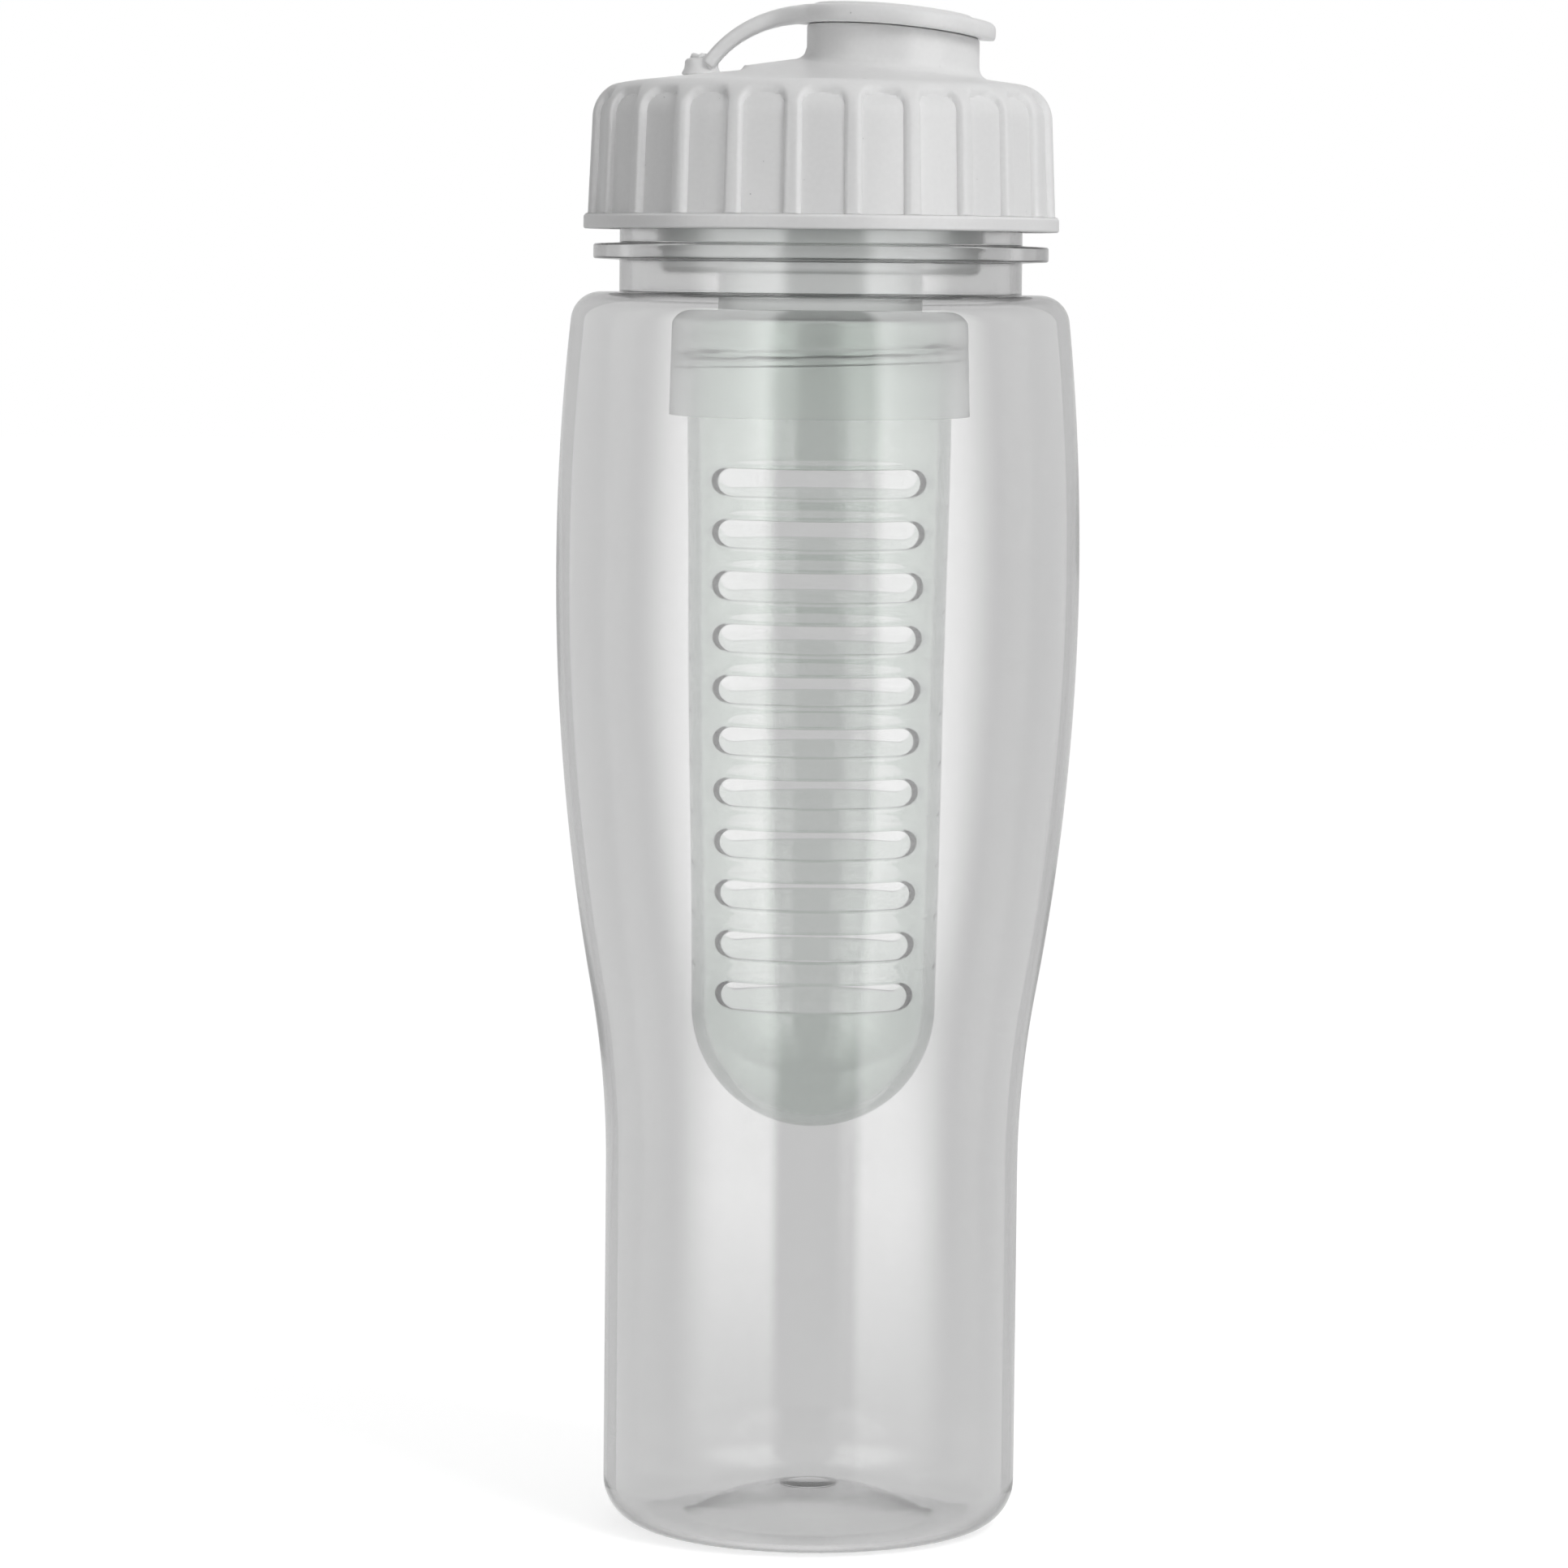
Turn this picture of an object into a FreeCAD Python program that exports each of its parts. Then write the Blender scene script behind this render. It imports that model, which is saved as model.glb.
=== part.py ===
import FreeCAD, Part
import math
import os

from FreeCAD import Vector

# Fruit infuser water bottle of 24 fluid ounces: a clear bottle with a ribbed screw lid, a flip cap over
# the spout, and a slotted fruit basket that hangs from the lid.
# Millimetres, +Z up, origin at the middle of the foot, +X towards the spout, front at -Y.

# Bottle
NECK_RADIUS = 29.9
NECK_WALL = 1.5
NECK_HEIGHT = 26.8
NECK_FILLET = 1.0
LIP_ROUND = 0.5
BODY_WALL = 1.0
BASE_WALL = 1.5
BULGE_REACH = 9.1
BULGE_HEIGHT = 143.8
GRIP_WAIST = 8.1
GRIP_TOP = 54.0
GRIP_CURVE = 150.0
SHOULDER_HEIGHT = 184.7
SHOULDER_ROUND = 4.4
SHOULDER_EASE = 1.92
HEEL_ROUND = 6.9
FOOT_RING_WIDTH = 5.5
PUSH_UP_RISE = 5.5
GATE_RADIUS = 4.2
GATE_DEPTH = 0.4
BEAD_GAP = 4.7
BEAD_REACH = 3.9
BEAD_THICKNESS = 2.6

# Neck thread, on the bottle and in the lid
NECK_LEAD = 4.5
NECK_TURNS = 1.3
NECK_THREAD_DEPTH = 1.7
NECK_THREAD_ROOT = 2.4
NECK_THREAD_CREST = 1.1
NECK_THREAD_BELOW_LIP = 3.2

# Basket thread, on the basket and in the bell
BASKET_LEAD = 3.2
BASKET_TURNS = 1.5
BASKET_THREAD_DEPTH = 1.15
BASKET_THREAD_ROOT = 1.4
BASKET_THREAD_CREST = 0.6
BASKET_THREAD_BELOW_RIM = 2.2

# Running clearances
THREAD_CLEARANCE = 0.4
BELL_CLEARANCE = 0.3
CREST_CLEARANCE = 0.3
FLANK_CLEARANCE = 0.3
SLIDE_CLEARANCE = 0.1
SEAT_CLEARANCE = 0.3
STRAP_SPLIT = 0.15
THREAD_SINK = 0.4

# Lid
GASKET_THICKNESS = 1.5
GASKET_WIDTH = 2.6
LID_GAP = 2.0
LID_WALL = 1.4
LID_DRAFT = 0.6
LID_ROOF = 2.8
LID_ROUND = 5.5
DECK_SLOPE = math.radians(8.0)
DECK_WALL = 2.2
DECK_PEAK_ROUND = 20.0
FLANGE_REACH = 0.5
FLANGE_HEIGHT = 2.2
WINDOW_COUNT = 24
WINDOW_WIDTH = 6.4
WINDOW_DEPTH = 0.8
WINDOW_CORNER = 2.3
WINDOW_BELOW_DECK = 1.4
SOCKET_WALL = 1.5
SOCKET_STEP = 1.7
SOCKET_LIFT = 0.3
LANDING_SETBACK = 6.2
LANDING_RISE = 0.75
LANDING_SLOPE = 0.1

# Spout
SPOUT_OFFSET = 10.4
SPOUT_RADIUS = 12.8
SPOUT_WALL = 1.6
SPOUT_RISE = 8.8

# Flip cap, its strap and the stud that holds it
CAP_OVERHANG = 2.4
CAP_THICKNESS = 2.6
CAP_CURVE = 160.0
PLATEAU_INSET = 1.3
PLATEAU_RISE = 0.5
PLUG_DEPTH = 2.6
PLUG_WALL = 1.3
PLUG_TAPER = 0.5
STRAP_CURVE = 16.5
STRAP_WIDTH = 8.0
STRAP_FILLET = 4.0
HINGE_ANGLE = math.radians(130.0)
ROOT_ANGLE = math.radians(146.0)
STUD_SETBACK = 15.6
STUD_RADIUS = 1.0
STUD_HEAD_RADIUS = 1.4
STUD_HEAD_HEIGHT = 0.8
COLLAR_RADIUS = 2.8
COLLAR_HEIGHT = 2.6

# Infuser head and seal
SEAL_BELOW_LID = 3.0
SEAL_HEIGHT = 7.2
SEAL_THICKNESS = 1.25
CUP_GAP = 4.75
CUP_STEP = 0.75
CUP_WALL = 1.5
CUP_FLOOR = 1.6
CUP_BELOW_LID = 6.4
CUP_ABOVE_LID = 5.7
CUP_ROUND = 1.0
HEAD_NECK_WALL = 1.6
HEAD_NECK_HEIGHT = 5.1
BELL_SETBACK = 1.3
BELL_FLAT = 3.85
BELL_WALL = 1.0
BELL_DRAFT = 0.3
BELL_ROOF = 1.8
BELL_HEIGHT = 16.2
BELL_ROUND = 3.0
STRAINER_THICKNESS = 1.4
STRAINER_RIM = 3.2
STRAINER_WEB = 1.2
STRAINER_RINGS = 2
FIRST_RING_HOLES = 6

# Infuser basket
BASKET_TAPER = 1.3
BASKET_WALL = 1.7
BASKET_LENGTH = 120.2
BASKET_COLLAR = 16.5
SLOT_COUNT = 11
SLOT_HEIGHT = 4.0
SLOT_INSET = 4.65
FIRST_SLOT = 23.6
LAST_SLOT = 2.7

# Places that follow from the sizes
CUT_MARGIN = 1.0
NECK_BORE = NECK_RADIUS - NECK_WALL
BULGE_RADIUS = NECK_RADIUS + BULGE_REACH
GRIP_RADIUS = BULGE_RADIUS - GRIP_WAIST
BEAD_BOTTOM = SHOULDER_HEIGHT + BEAD_GAP
BEAD_TOP = BEAD_BOTTOM + BEAD_THICKNESS
LIP = SHOULDER_HEIGHT + NECK_HEIGHT
NECK_THREAD_LOW = LIP - NECK_THREAD_BELOW_LIP - NECK_LEAD * NECK_TURNS
LID_BOTTOM = BEAD_TOP + LID_GAP
LID_CEILING = LIP + GASKET_THICKNESS
LID_BORE = NECK_RADIUS + NECK_THREAD_DEPTH + THREAD_CLEARANCE
RIB_TOP_RADIUS = LID_BORE + LID_WALL + WINDOW_DEPTH
RIB_LOW_RADIUS = RIB_TOP_RADIUS + LID_DRAFT
FLANGE_TOP = LID_BOTTOM + FLANGE_HEIGHT
DECK = LID_CEILING + LID_ROOF
DECK_RADIUS = RIB_TOP_RADIUS - LID_ROUND
CUP_RADIUS = NECK_BORE - CUP_GAP
SEAL_RADIUS = CUP_RADIUS - CUP_STEP + SLIDE_CLEARANCE + SEAL_THICKNESS
SEAL_BOTTOM = LID_BOTTOM - SEAL_BELOW_LID
SOCKET_BORE = SEAL_RADIUS + SLIDE_CLEARANCE
CUP_BOTTOM = LID_BOTTOM - CUP_BELOW_LID
CUP_TOP = LID_BOTTOM + CUP_ABOVE_LID
BELL_TOP = CUP_BOTTOM - HEAD_NECK_HEIGHT
BELL_CEILING = BELL_TOP - BELL_ROOF
BELL_BOTTOM = BELL_TOP - BELL_HEIGHT
BELL_RADIUS = CUP_RADIUS - BELL_SETBACK - BELL_DRAFT
BELL_BORE = BELL_RADIUS - BELL_WALL
HEAD_NECK_RADIUS = BELL_RADIUS - BELL_ROUND - BELL_FLAT
THROAT = HEAD_NECK_RADIUS - HEAD_NECK_WALL
STRAINER_HOLE = (THROAT - STRAINER_RIM - STRAINER_RINGS * STRAINER_WEB) / (2 * STRAINER_RINGS + 1)
STRAINER_PITCH = 2 * STRAINER_HOLE + STRAINER_WEB
BASKET_RADIUS = BELL_BORE - BELL_CLEARANCE - BASKET_THREAD_DEPTH
BASKET_TIP_RADIUS = BASKET_RADIUS - BASKET_TAPER
BASKET_RIM = BELL_CEILING - SEAT_CLEARANCE
BASKET_BOTTOM = BASKET_RIM - BASKET_LENGTH
BASKET_EQUATOR = BASKET_BOTTOM + BASKET_TIP_RADIUS
SLOT_PITCH = (BASKET_RIM - FIRST_SLOT - BASKET_EQUATOR - LAST_SLOT) / (SLOT_COUNT - 1)
BASKET_THREAD_LOW = BASKET_RIM - BASKET_THREAD_BELOW_RIM - BASKET_LEAD * BASKET_TURNS
RIM = DECK + SPOUT_RISE
SPOUT_NEAR = SPOUT_OFFSET - SPOUT_RADIUS
SPOUT_BORE = SPOUT_RADIUS - SPOUT_WALL
CAP_RADIUS = SPOUT_RADIUS + CAP_OVERHANG
PLATEAU_RADIUS = SPOUT_RADIUS - PLATEAU_INSET
CAP_CENTRE = Vector(SPOUT_NEAR, 0, RIM - CAP_CURVE)
STRAP_CENTRE = Vector(SPOUT_NEAR, 0, RIM - STRAP_CURVE)
STRAP_OUTER = STRAP_CURVE + CAP_THICKNESS
STUD = SPOUT_NEAR - STUD_SETBACK
LANDING_EDGE = STUD + LANDING_SETBACK
Z_AXIS = Vector(0, 0, 1)


def xz(x, z):
    """A point of an outline in the plane that the turned pieces share."""
    return Vector(x, 0, z)


def polar(centre, radius, angle):
    """A point at an angle from +X about a centre in the XZ plane."""
    return centre + Vector(radius * math.cos(angle), 0, radius * math.sin(angle))


def arc_about(centre, start, end):
    """The short arc from start to end about a centre."""
    bisector = (start - centre) + (end - centre)
    middle = centre + bisector * ((start - centre).Length / bisector.Length)
    return Part.Arc(start, middle, end).toShape()


def outline(start, *steps):
    """A face closed by a last line. A step is the end of a line, or the centre and end of a short arc."""
    edges = []
    here = start
    for step in steps + (start,):
        if isinstance(step, tuple):
            centre, end = step
            edges.append(arc_about(centre, here, end))
        else:
            end = step
            edges.append(Part.makeLine(here, end))
        here = end
    return Part.Face(Part.Wire(edges))


def turned(face):
    """A face turned once round the Z axis."""
    return face.revolve(Vector(0, 0, 0), Z_AXIS, 360)


def ring(outer, inner, low, high):
    """A plain ring about the Z axis."""
    return turned(outline(xz(inner, low), xz(outer, low), xz(outer, high), xz(inner, high)))


def drum(x, radius, low, high):
    """An upright cylinder centred on y = 0."""
    return Part.makeCylinder(radius, high - low, Vector(x, 0, low), Z_AXIS)


def log(centre, radius, half_width):
    """A cylinder that lies along Y, used to curve what it meets."""
    return Part.makeCylinder(radius, 2 * half_width, centre - Vector(0, half_width, 0), Vector(0, 1, 0))


def thread(radius, depth, root, crest, lead, turns, low):
    """A ridge that winds up a wall, outwards for a positive depth and inwards for a negative one."""
    sunk = radius - math.copysign(THREAD_SINK, depth)
    tip = radius + depth
    section = Part.makePolygon([
        xz(sunk, low - root / 2),
        xz(tip, low - crest / 2),
        xz(tip, low + crest / 2),
        xz(sunk, low + root / 2),
        xz(sunk, low - root / 2),
    ])
    helix = Part.makeHelix(lead, lead * turns, radius)
    helix.translate(Vector(0, 0, low))
    return Part.Wire(helix.Edges).makePipeShell([section], True, True)


def thread_drop(root, crest):
    """How far a nut's ridge runs below the bolt's ridge that holds it."""
    return (root + crest) / 2 + FLANK_CLEARANCE


def bottle_side(wall):
    """Steps from the heel to the shoulder, for the skin at a depth of one wall under the surface."""
    climb = BULGE_HEIGHT - GRIP_TOP
    curves = (climb ** 2 + GRIP_WAIST ** 2) / (2 * GRIP_WAIST)
    lower_curve = curves - GRIP_CURVE
    grip_centre = xz(GRIP_RADIUS + GRIP_CURVE, GRIP_TOP)
    lower_centre = xz(BULGE_RADIUS - lower_curve, BULGE_HEIGHT)
    towards_grip = (grip_centre - lower_centre) * (1 / curves)
    inset = SHOULDER_EASE + SHOULDER_ROUND
    rise = SHOULDER_HEIGHT - SHOULDER_ROUND - BULGE_HEIGHT
    upper_curve = (inset ** 2 + rise ** 2 - SHOULDER_ROUND ** 2) / (2 * SHOULDER_EASE)
    upper_centre = xz(BULGE_RADIUS - upper_curve, BULGE_HEIGHT)
    round_centre = xz(BULGE_RADIUS - inset, SHOULDER_HEIGHT - SHOULDER_ROUND)
    towards_round = (round_centre - upper_centre) * (1 / (upper_curve - SHOULDER_ROUND))
    return [
        xz(GRIP_RADIUS - wall, GRIP_TOP),
        (grip_centre, lower_centre + towards_grip * (lower_curve - wall)),
        (lower_centre, xz(BULGE_RADIUS - wall, BULGE_HEIGHT)),
        (upper_centre, upper_centre + towards_round * (upper_curve - wall)),
        (round_centre, round_centre + Vector(0, 0, SHOULDER_ROUND - wall)),
    ]


def bottle_body():
    """The clear bottle: foot, grip, bulge, shoulder, neck with its bead, and thread."""
    foot_outer = GRIP_RADIUS - HEEL_ROUND
    foot_inner = foot_outer - FOOT_RING_WIDTH
    dome = (foot_inner ** 2 + PUSH_UP_RISE ** 2) / (2 * PUSH_UP_RISE)
    dome_centre = xz(0, PUSH_UP_RISE - dome)
    nose = BEAD_THICKNESS / 2
    bead_edge = NECK_RADIUS + BEAD_REACH
    bead_centre = xz(bead_edge - nose, BEAD_BOTTOM + nose)
    neck_round = xz(NECK_RADIUS + NECK_FILLET, SHOULDER_HEIGHT + NECK_FILLET)
    outside = outline(
        xz(0, PUSH_UP_RISE),
        (dome_centre, xz(foot_inner, 0)),
        xz(foot_outer, 0),
        (xz(foot_outer, HEEL_ROUND), xz(GRIP_RADIUS, HEEL_ROUND)),
        *bottle_side(0),
        neck_round - Vector(0, 0, NECK_FILLET),
        (neck_round, neck_round - Vector(NECK_FILLET, 0, 0)),
        xz(NECK_RADIUS, BEAD_BOTTOM),
        xz(bead_edge - nose, BEAD_BOTTOM),
        (bead_centre, xz(bead_edge, BEAD_BOTTOM + nose)),
        (bead_centre, xz(bead_edge - nose, BEAD_TOP)),
        xz(NECK_RADIUS, BEAD_TOP),
        xz(NECK_RADIUS, LIP - LIP_ROUND),
        (xz(NECK_RADIUS - LIP_ROUND, LIP - LIP_ROUND), xz(NECK_RADIUS - LIP_ROUND, LIP)),
        xz(0, LIP),
    )
    inner_heel = HEEL_ROUND - BODY_WALL
    inner_dome = dome + BASE_WALL
    floor_edge = math.sqrt(inner_dome ** 2 - (BASE_WALL - dome_centre.z) ** 2)
    inner_round = NECK_FILLET + BODY_WALL
    inner_neck = xz(NECK_BORE + inner_round, SHOULDER_HEIGHT - BODY_WALL + inner_round)
    cavity = outline(
        xz(0, PUSH_UP_RISE + BASE_WALL),
        (dome_centre, xz(floor_edge, BASE_WALL)),
        xz(foot_outer, BASE_WALL),
        (xz(foot_outer, BASE_WALL + inner_heel), xz(foot_outer + inner_heel, BASE_WALL + inner_heel)),
        *bottle_side(BODY_WALL),
        inner_neck - Vector(0, 0, inner_round),
        (inner_neck, inner_neck - Vector(inner_round, 0, 0)),
        xz(NECK_BORE, LIP + CUT_MARGIN),
        xz(0, LIP + CUT_MARGIN),
    )
    gate = drum(0, GATE_RADIUS, 0, PUSH_UP_RISE + GATE_DEPTH)
    ridge = thread(NECK_RADIUS, NECK_THREAD_DEPTH, NECK_THREAD_ROOT, NECK_THREAD_CREST,
                   NECK_LEAD, NECK_TURNS, NECK_THREAD_LOW)
    return turned(outside).cut(turned(cavity)).cut(gate).fuse(ridge)


def lid_gasket():
    """The soft ring between the bottle's lip and the lid's ceiling."""
    return ring(NECK_BORE + GASKET_WIDTH, NECK_BORE, LIP, LID_CEILING)


def lid_shell():
    """The lid's outside as a solid: flange, ribbed skirt before its windows, round and sloping deck."""
    round_centre = xz(DECK_RADIUS, DECK - LID_ROUND)
    deck_edge = round_centre + Vector(LID_ROUND * math.sin(DECK_SLOPE), 0, LID_ROUND * math.cos(DECK_SLOPE))
    peak_edge = DECK_PEAK_ROUND * math.sin(DECK_SLOPE)
    peak_low = deck_edge.z + (deck_edge.x - peak_edge) * math.tan(DECK_SLOPE)
    peak_centre = xz(0, peak_low - DECK_PEAK_ROUND * math.cos(DECK_SLOPE))
    return turned(outline(
        xz(0, LID_BOTTOM),
        xz(RIB_LOW_RADIUS + FLANGE_REACH, LID_BOTTOM),
        xz(RIB_LOW_RADIUS + FLANGE_REACH, FLANGE_TOP),
        xz(RIB_LOW_RADIUS, FLANGE_TOP),
        xz(RIB_TOP_RADIUS, round_centre.z),
        (round_centre, deck_edge),
        xz(peak_edge, peak_low),
        (peak_centre, peak_centre + Vector(0, 0, DECK_PEAK_ROUND)),
    ))


def lid_windows():
    """The cuts between the ribs, each with a flat foot on the flange and a rounded head."""
    round_centre = xz(DECK_RADIUS, DECK - LID_ROUND)
    floor = turned(outline(
        xz(0, FLANGE_TOP - CUT_MARGIN),
        xz(RIB_LOW_RADIUS - WINDOW_DEPTH, FLANGE_TOP - CUT_MARGIN),
        xz(RIB_LOW_RADIUS - WINDOW_DEPTH, FLANGE_TOP),
        xz(RIB_TOP_RADIUS - WINDOW_DEPTH, round_centre.z),
        (round_centre, round_centre + Vector(0, 0, LID_ROUND - WINDOW_DEPTH)),
        xz(0, DECK - WINDOW_DEPTH),
    ))
    half = WINDOW_WIDTH / 2
    top = DECK - WINDOW_BELOW_DECK
    straight = half - WINDOW_CORNER
    springing = top - WINDOW_CORNER
    near = DECK_RADIUS
    face = outline(
        Vector(near, -half, FLANGE_TOP),
        Vector(near, half, FLANGE_TOP),
        Vector(near, half, springing),
        (Vector(near, straight, springing), Vector(near, straight, top)),
        Vector(near, -straight, top),
        (Vector(near, -straight, springing), Vector(near, -half, springing)),
    )
    reach = RIB_LOW_RADIUS + FLANGE_REACH + CUT_MARGIN - near
    cutter = face.extrude(Vector(reach, 0, 0)).cut(floor)
    cutters = []
    for place in range(WINDOW_COUNT):
        copy = cutter.copy()
        copy.rotate(Vector(0, 0, 0), Z_AXIS, place * 360 / WINDOW_COUNT)
        cutters.append(copy)
    return cutters


def lid_inside():
    """The lid's hollow: space for the neck, the socket for the infuser and the underside of the deck."""
    socket_outer = SOCKET_BORE + SOCKET_WALL
    inner_bore = SOCKET_BORE - SOCKET_STEP
    ledge = CUP_TOP + SEAT_CLEARANCE
    under_edge = DECK - DECK_WALL + (DECK_RADIUS - inner_bore) * math.tan(DECK_SLOPE)
    under_peak = under_edge + inner_bore * math.tan(DECK_SLOPE)
    return turned(outline(
        xz(0, LID_BOTTOM - CUT_MARGIN),
        xz(LID_BORE, LID_BOTTOM - CUT_MARGIN),
        xz(LID_BORE, LID_CEILING),
        xz(socket_outer, LID_CEILING),
        xz(socket_outer, LID_BOTTOM + SOCKET_LIFT),
        xz(SOCKET_BORE, LID_BOTTOM + SOCKET_LIFT),
        xz(SOCKET_BORE, ledge),
        xz(inner_bore, ledge),
        xz(inner_bore, under_edge),
        xz(0, under_peak),
    ))


def landing_height(x):
    """The height of the flat landing that the strap's collar stands on."""
    return DECK + LANDING_RISE + LANDING_SLOPE * (x - STUD)


def screw_lid():
    """The lid with its windows, landing, spout, stud and inner thread."""
    far = RIB_LOW_RADIUS
    landing = outline(
        xz(-far, landing_height(-far)),
        xz(LANDING_EDGE, landing_height(LANDING_EDGE)),
        xz(LANDING_EDGE, RIM),
        xz(-far, RIM),
    ).extrude(Vector(0, 2 * far, 0))
    landing.translate(Vector(0, -far, 0))
    spout = drum(SPOUT_OFFSET, SPOUT_RADIUS, DECK, RIM)
    spout = spout.common(log(CAP_CENTRE, CAP_CURVE - SLIDE_CLEARANCE, CAP_RADIUS))
    bore = drum(SPOUT_OFFSET, SPOUT_BORE, LID_CEILING - LID_ROOF, RIM)
    collar_top = landing_height(STUD) + COLLAR_HEIGHT
    stud = drum(STUD, STUD_RADIUS, DECK - THREAD_SINK, collar_top + SLIDE_CLEARANCE)
    head = drum(STUD, STUD_HEAD_RADIUS, collar_top + SLIDE_CLEARANCE,
                collar_top + SLIDE_CLEARANCE + STUD_HEAD_HEIGHT)
    head = head.makeFillet(STUD_HEAD_HEIGHT / 2, [head.Edges[0]])
    drop = thread_drop(NECK_THREAD_ROOT, NECK_THREAD_CREST)
    ridge = thread(LID_BORE, CREST_CLEARANCE - NECK_THREAD_DEPTH, NECK_THREAD_ROOT, NECK_THREAD_CREST,
                   NECK_LEAD, NECK_TURNS, NECK_THREAD_LOW - drop)
    lid = lid_shell().cut(lid_windows()).cut(landing).fuse(spout)
    return lid.cut([lid_inside(), bore]).fuse([ridge, stud, head])


def strap_band(start_angle, end_angle):
    """A stretch of the arched strap, seen from the front, as a face."""
    return outline(
        polar(STRAP_CENTRE, STRAP_CURVE, start_angle),
        (STRAP_CENTRE, polar(STRAP_CENTRE, STRAP_CURVE, end_angle)),
        polar(STRAP_CENTRE, STRAP_OUTER, end_angle),
        (STRAP_CENTRE, polar(STRAP_CENTRE, STRAP_OUTER, start_angle)),
    )


def strap_anchor():
    """The eyelet collar on the stud, with the root of the strap up to its bending line."""
    base = landing_height(STUD - COLLAR_RADIUS) + SLIDE_CLEARANCE
    top = landing_height(STUD) + COLLAR_HEIGHT
    side = STRAP_WIDTH / 2 - COLLAR_RADIUS
    floor = landing_height(STUD + COLLAR_RADIUS) + SLIDE_CLEARANCE
    left = STUD - COLLAR_RADIUS
    right = STUD + COLLAR_RADIUS
    plan = outline(
        Vector(left, -side, base),
        (Vector(STUD, -side, base), Vector(STUD, -side - COLLAR_RADIUS, base)),
        (Vector(STUD, -side, base), Vector(right, -side, base)),
        Vector(right, side, base),
        (Vector(STUD, side, base), Vector(STUD, side + COLLAR_RADIUS, base)),
        (Vector(STUD, side, base), Vector(left, side, base)),
    )
    collar = plan.extrude(Vector(0, 0, top - base))
    under = outline(xz(left, base), xz(right, floor), xz(right, base)).extrude(Vector(0, STRAP_WIDTH, 0))
    under.translate(Vector(0, -STRAP_WIDTH / 2, 0))
    root = strap_band(HINGE_ANGLE, ROOT_ANGLE).extrude(Vector(0, STRAP_WIDTH, 0))
    root.translate(Vector(0, -STRAP_WIDTH / 2, 0))
    stud_hole = drum(STUD, STUD_RADIUS + SLIDE_CLEARANCE, DECK, RIM)
    head_room = drum(STUD, STUD_HEAD_RADIUS + SLIDE_CLEARANCE, top, RIM)
    return collar.cut(under).fuse(root).cut([stud_hole, head_room])


def flip_cap():
    """The disc over the spout with its plateau, plug and the lifting stretch of the strap."""
    split_angle = HINGE_ANGLE - STRAP_SPLIT / STRAP_OUTER
    far = SPOUT_OFFSET + CAP_RADIUS + CUT_MARGIN
    turn = math.acos((far - CAP_CENTRE.x) / CAP_CURVE)
    level = math.pi / 2
    band = outline(
        polar(CAP_CENTRE, CAP_CURVE, turn),
        (CAP_CENTRE, polar(CAP_CENTRE, CAP_CURVE, level)),
        (STRAP_CENTRE, polar(STRAP_CENTRE, STRAP_CURVE, split_angle)),
        polar(STRAP_CENTRE, STRAP_OUTER, split_angle),
        (STRAP_CENTRE, polar(STRAP_CENTRE, STRAP_OUTER, level)),
        (CAP_CENTRE, polar(CAP_CENTRE, CAP_CURVE + CAP_THICKNESS, turn)),
    ).extrude(Vector(0, 2 * CAP_RADIUS, 0))
    band.translate(Vector(0, -CAP_RADIUS, 0))
    low = RIM - STRAP_CURVE
    high = RIM + CAP_THICKNESS + PLATEAU_RISE + CUT_MARGIN
    strip = Part.makeBox(SPOUT_OFFSET - STUD, STRAP_WIDTH, high - low, Vector(STUD, -STRAP_WIDTH / 2, low))
    plan = drum(SPOUT_OFFSET, CAP_RADIUS, low, high).fuse(strip).removeSplitter()
    uprights = [edge for edge in plan.Edges if edge.Length > high - low - CUT_MARGIN]
    joins = [edge for edge in uprights if STUD + CUT_MARGIN < edge.CenterOfMass.x < SPOUT_OFFSET]
    plan = plan.makeFillet(STRAP_FILLET, joins)
    cap = band.common(plan)
    plateau = drum(SPOUT_OFFSET, PLATEAU_RADIUS, low, high).common(
        log(CAP_CENTRE, CAP_CURVE + CAP_THICKNESS + PLATEAU_RISE, CAP_RADIUS))
    plateau = plateau.cut(log(CAP_CENTRE, CAP_CURVE + CAP_THICKNESS / 2, CAP_RADIUS + CUT_MARGIN))
    plug_radius = SPOUT_BORE - SLIDE_CLEARANCE
    plug_low = RIM - CAP_THICKNESS - 2 * PLUG_DEPTH
    plug_foot = Vector(SPOUT_OFFSET, 0, plug_low)
    plug = Part.makeCone(plug_radius - PLUG_TAPER, plug_radius, RIM - plug_low, plug_foot)
    plug = plug.cut(drum(SPOUT_OFFSET, plug_radius - PLUG_TAPER - PLUG_WALL, plug_low, high))
    plug = plug.common(log(CAP_CENTRE, CAP_CURVE + CAP_THICKNESS / 2, CAP_RADIUS))
    plug = plug.cut(log(CAP_CENTRE, CAP_CURVE - PLUG_DEPTH, CAP_RADIUS + CUT_MARGIN))
    return cap.fuse([plateau, plug])


def infuser_seal():
    """The soft ring on the cup's step, which grips the lid's socket."""
    return ring(SEAL_RADIUS, SEAL_RADIUS - SEAL_THICKNESS, SEAL_BOTTOM, SEAL_BOTTOM + SEAL_HEIGHT)


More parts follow.
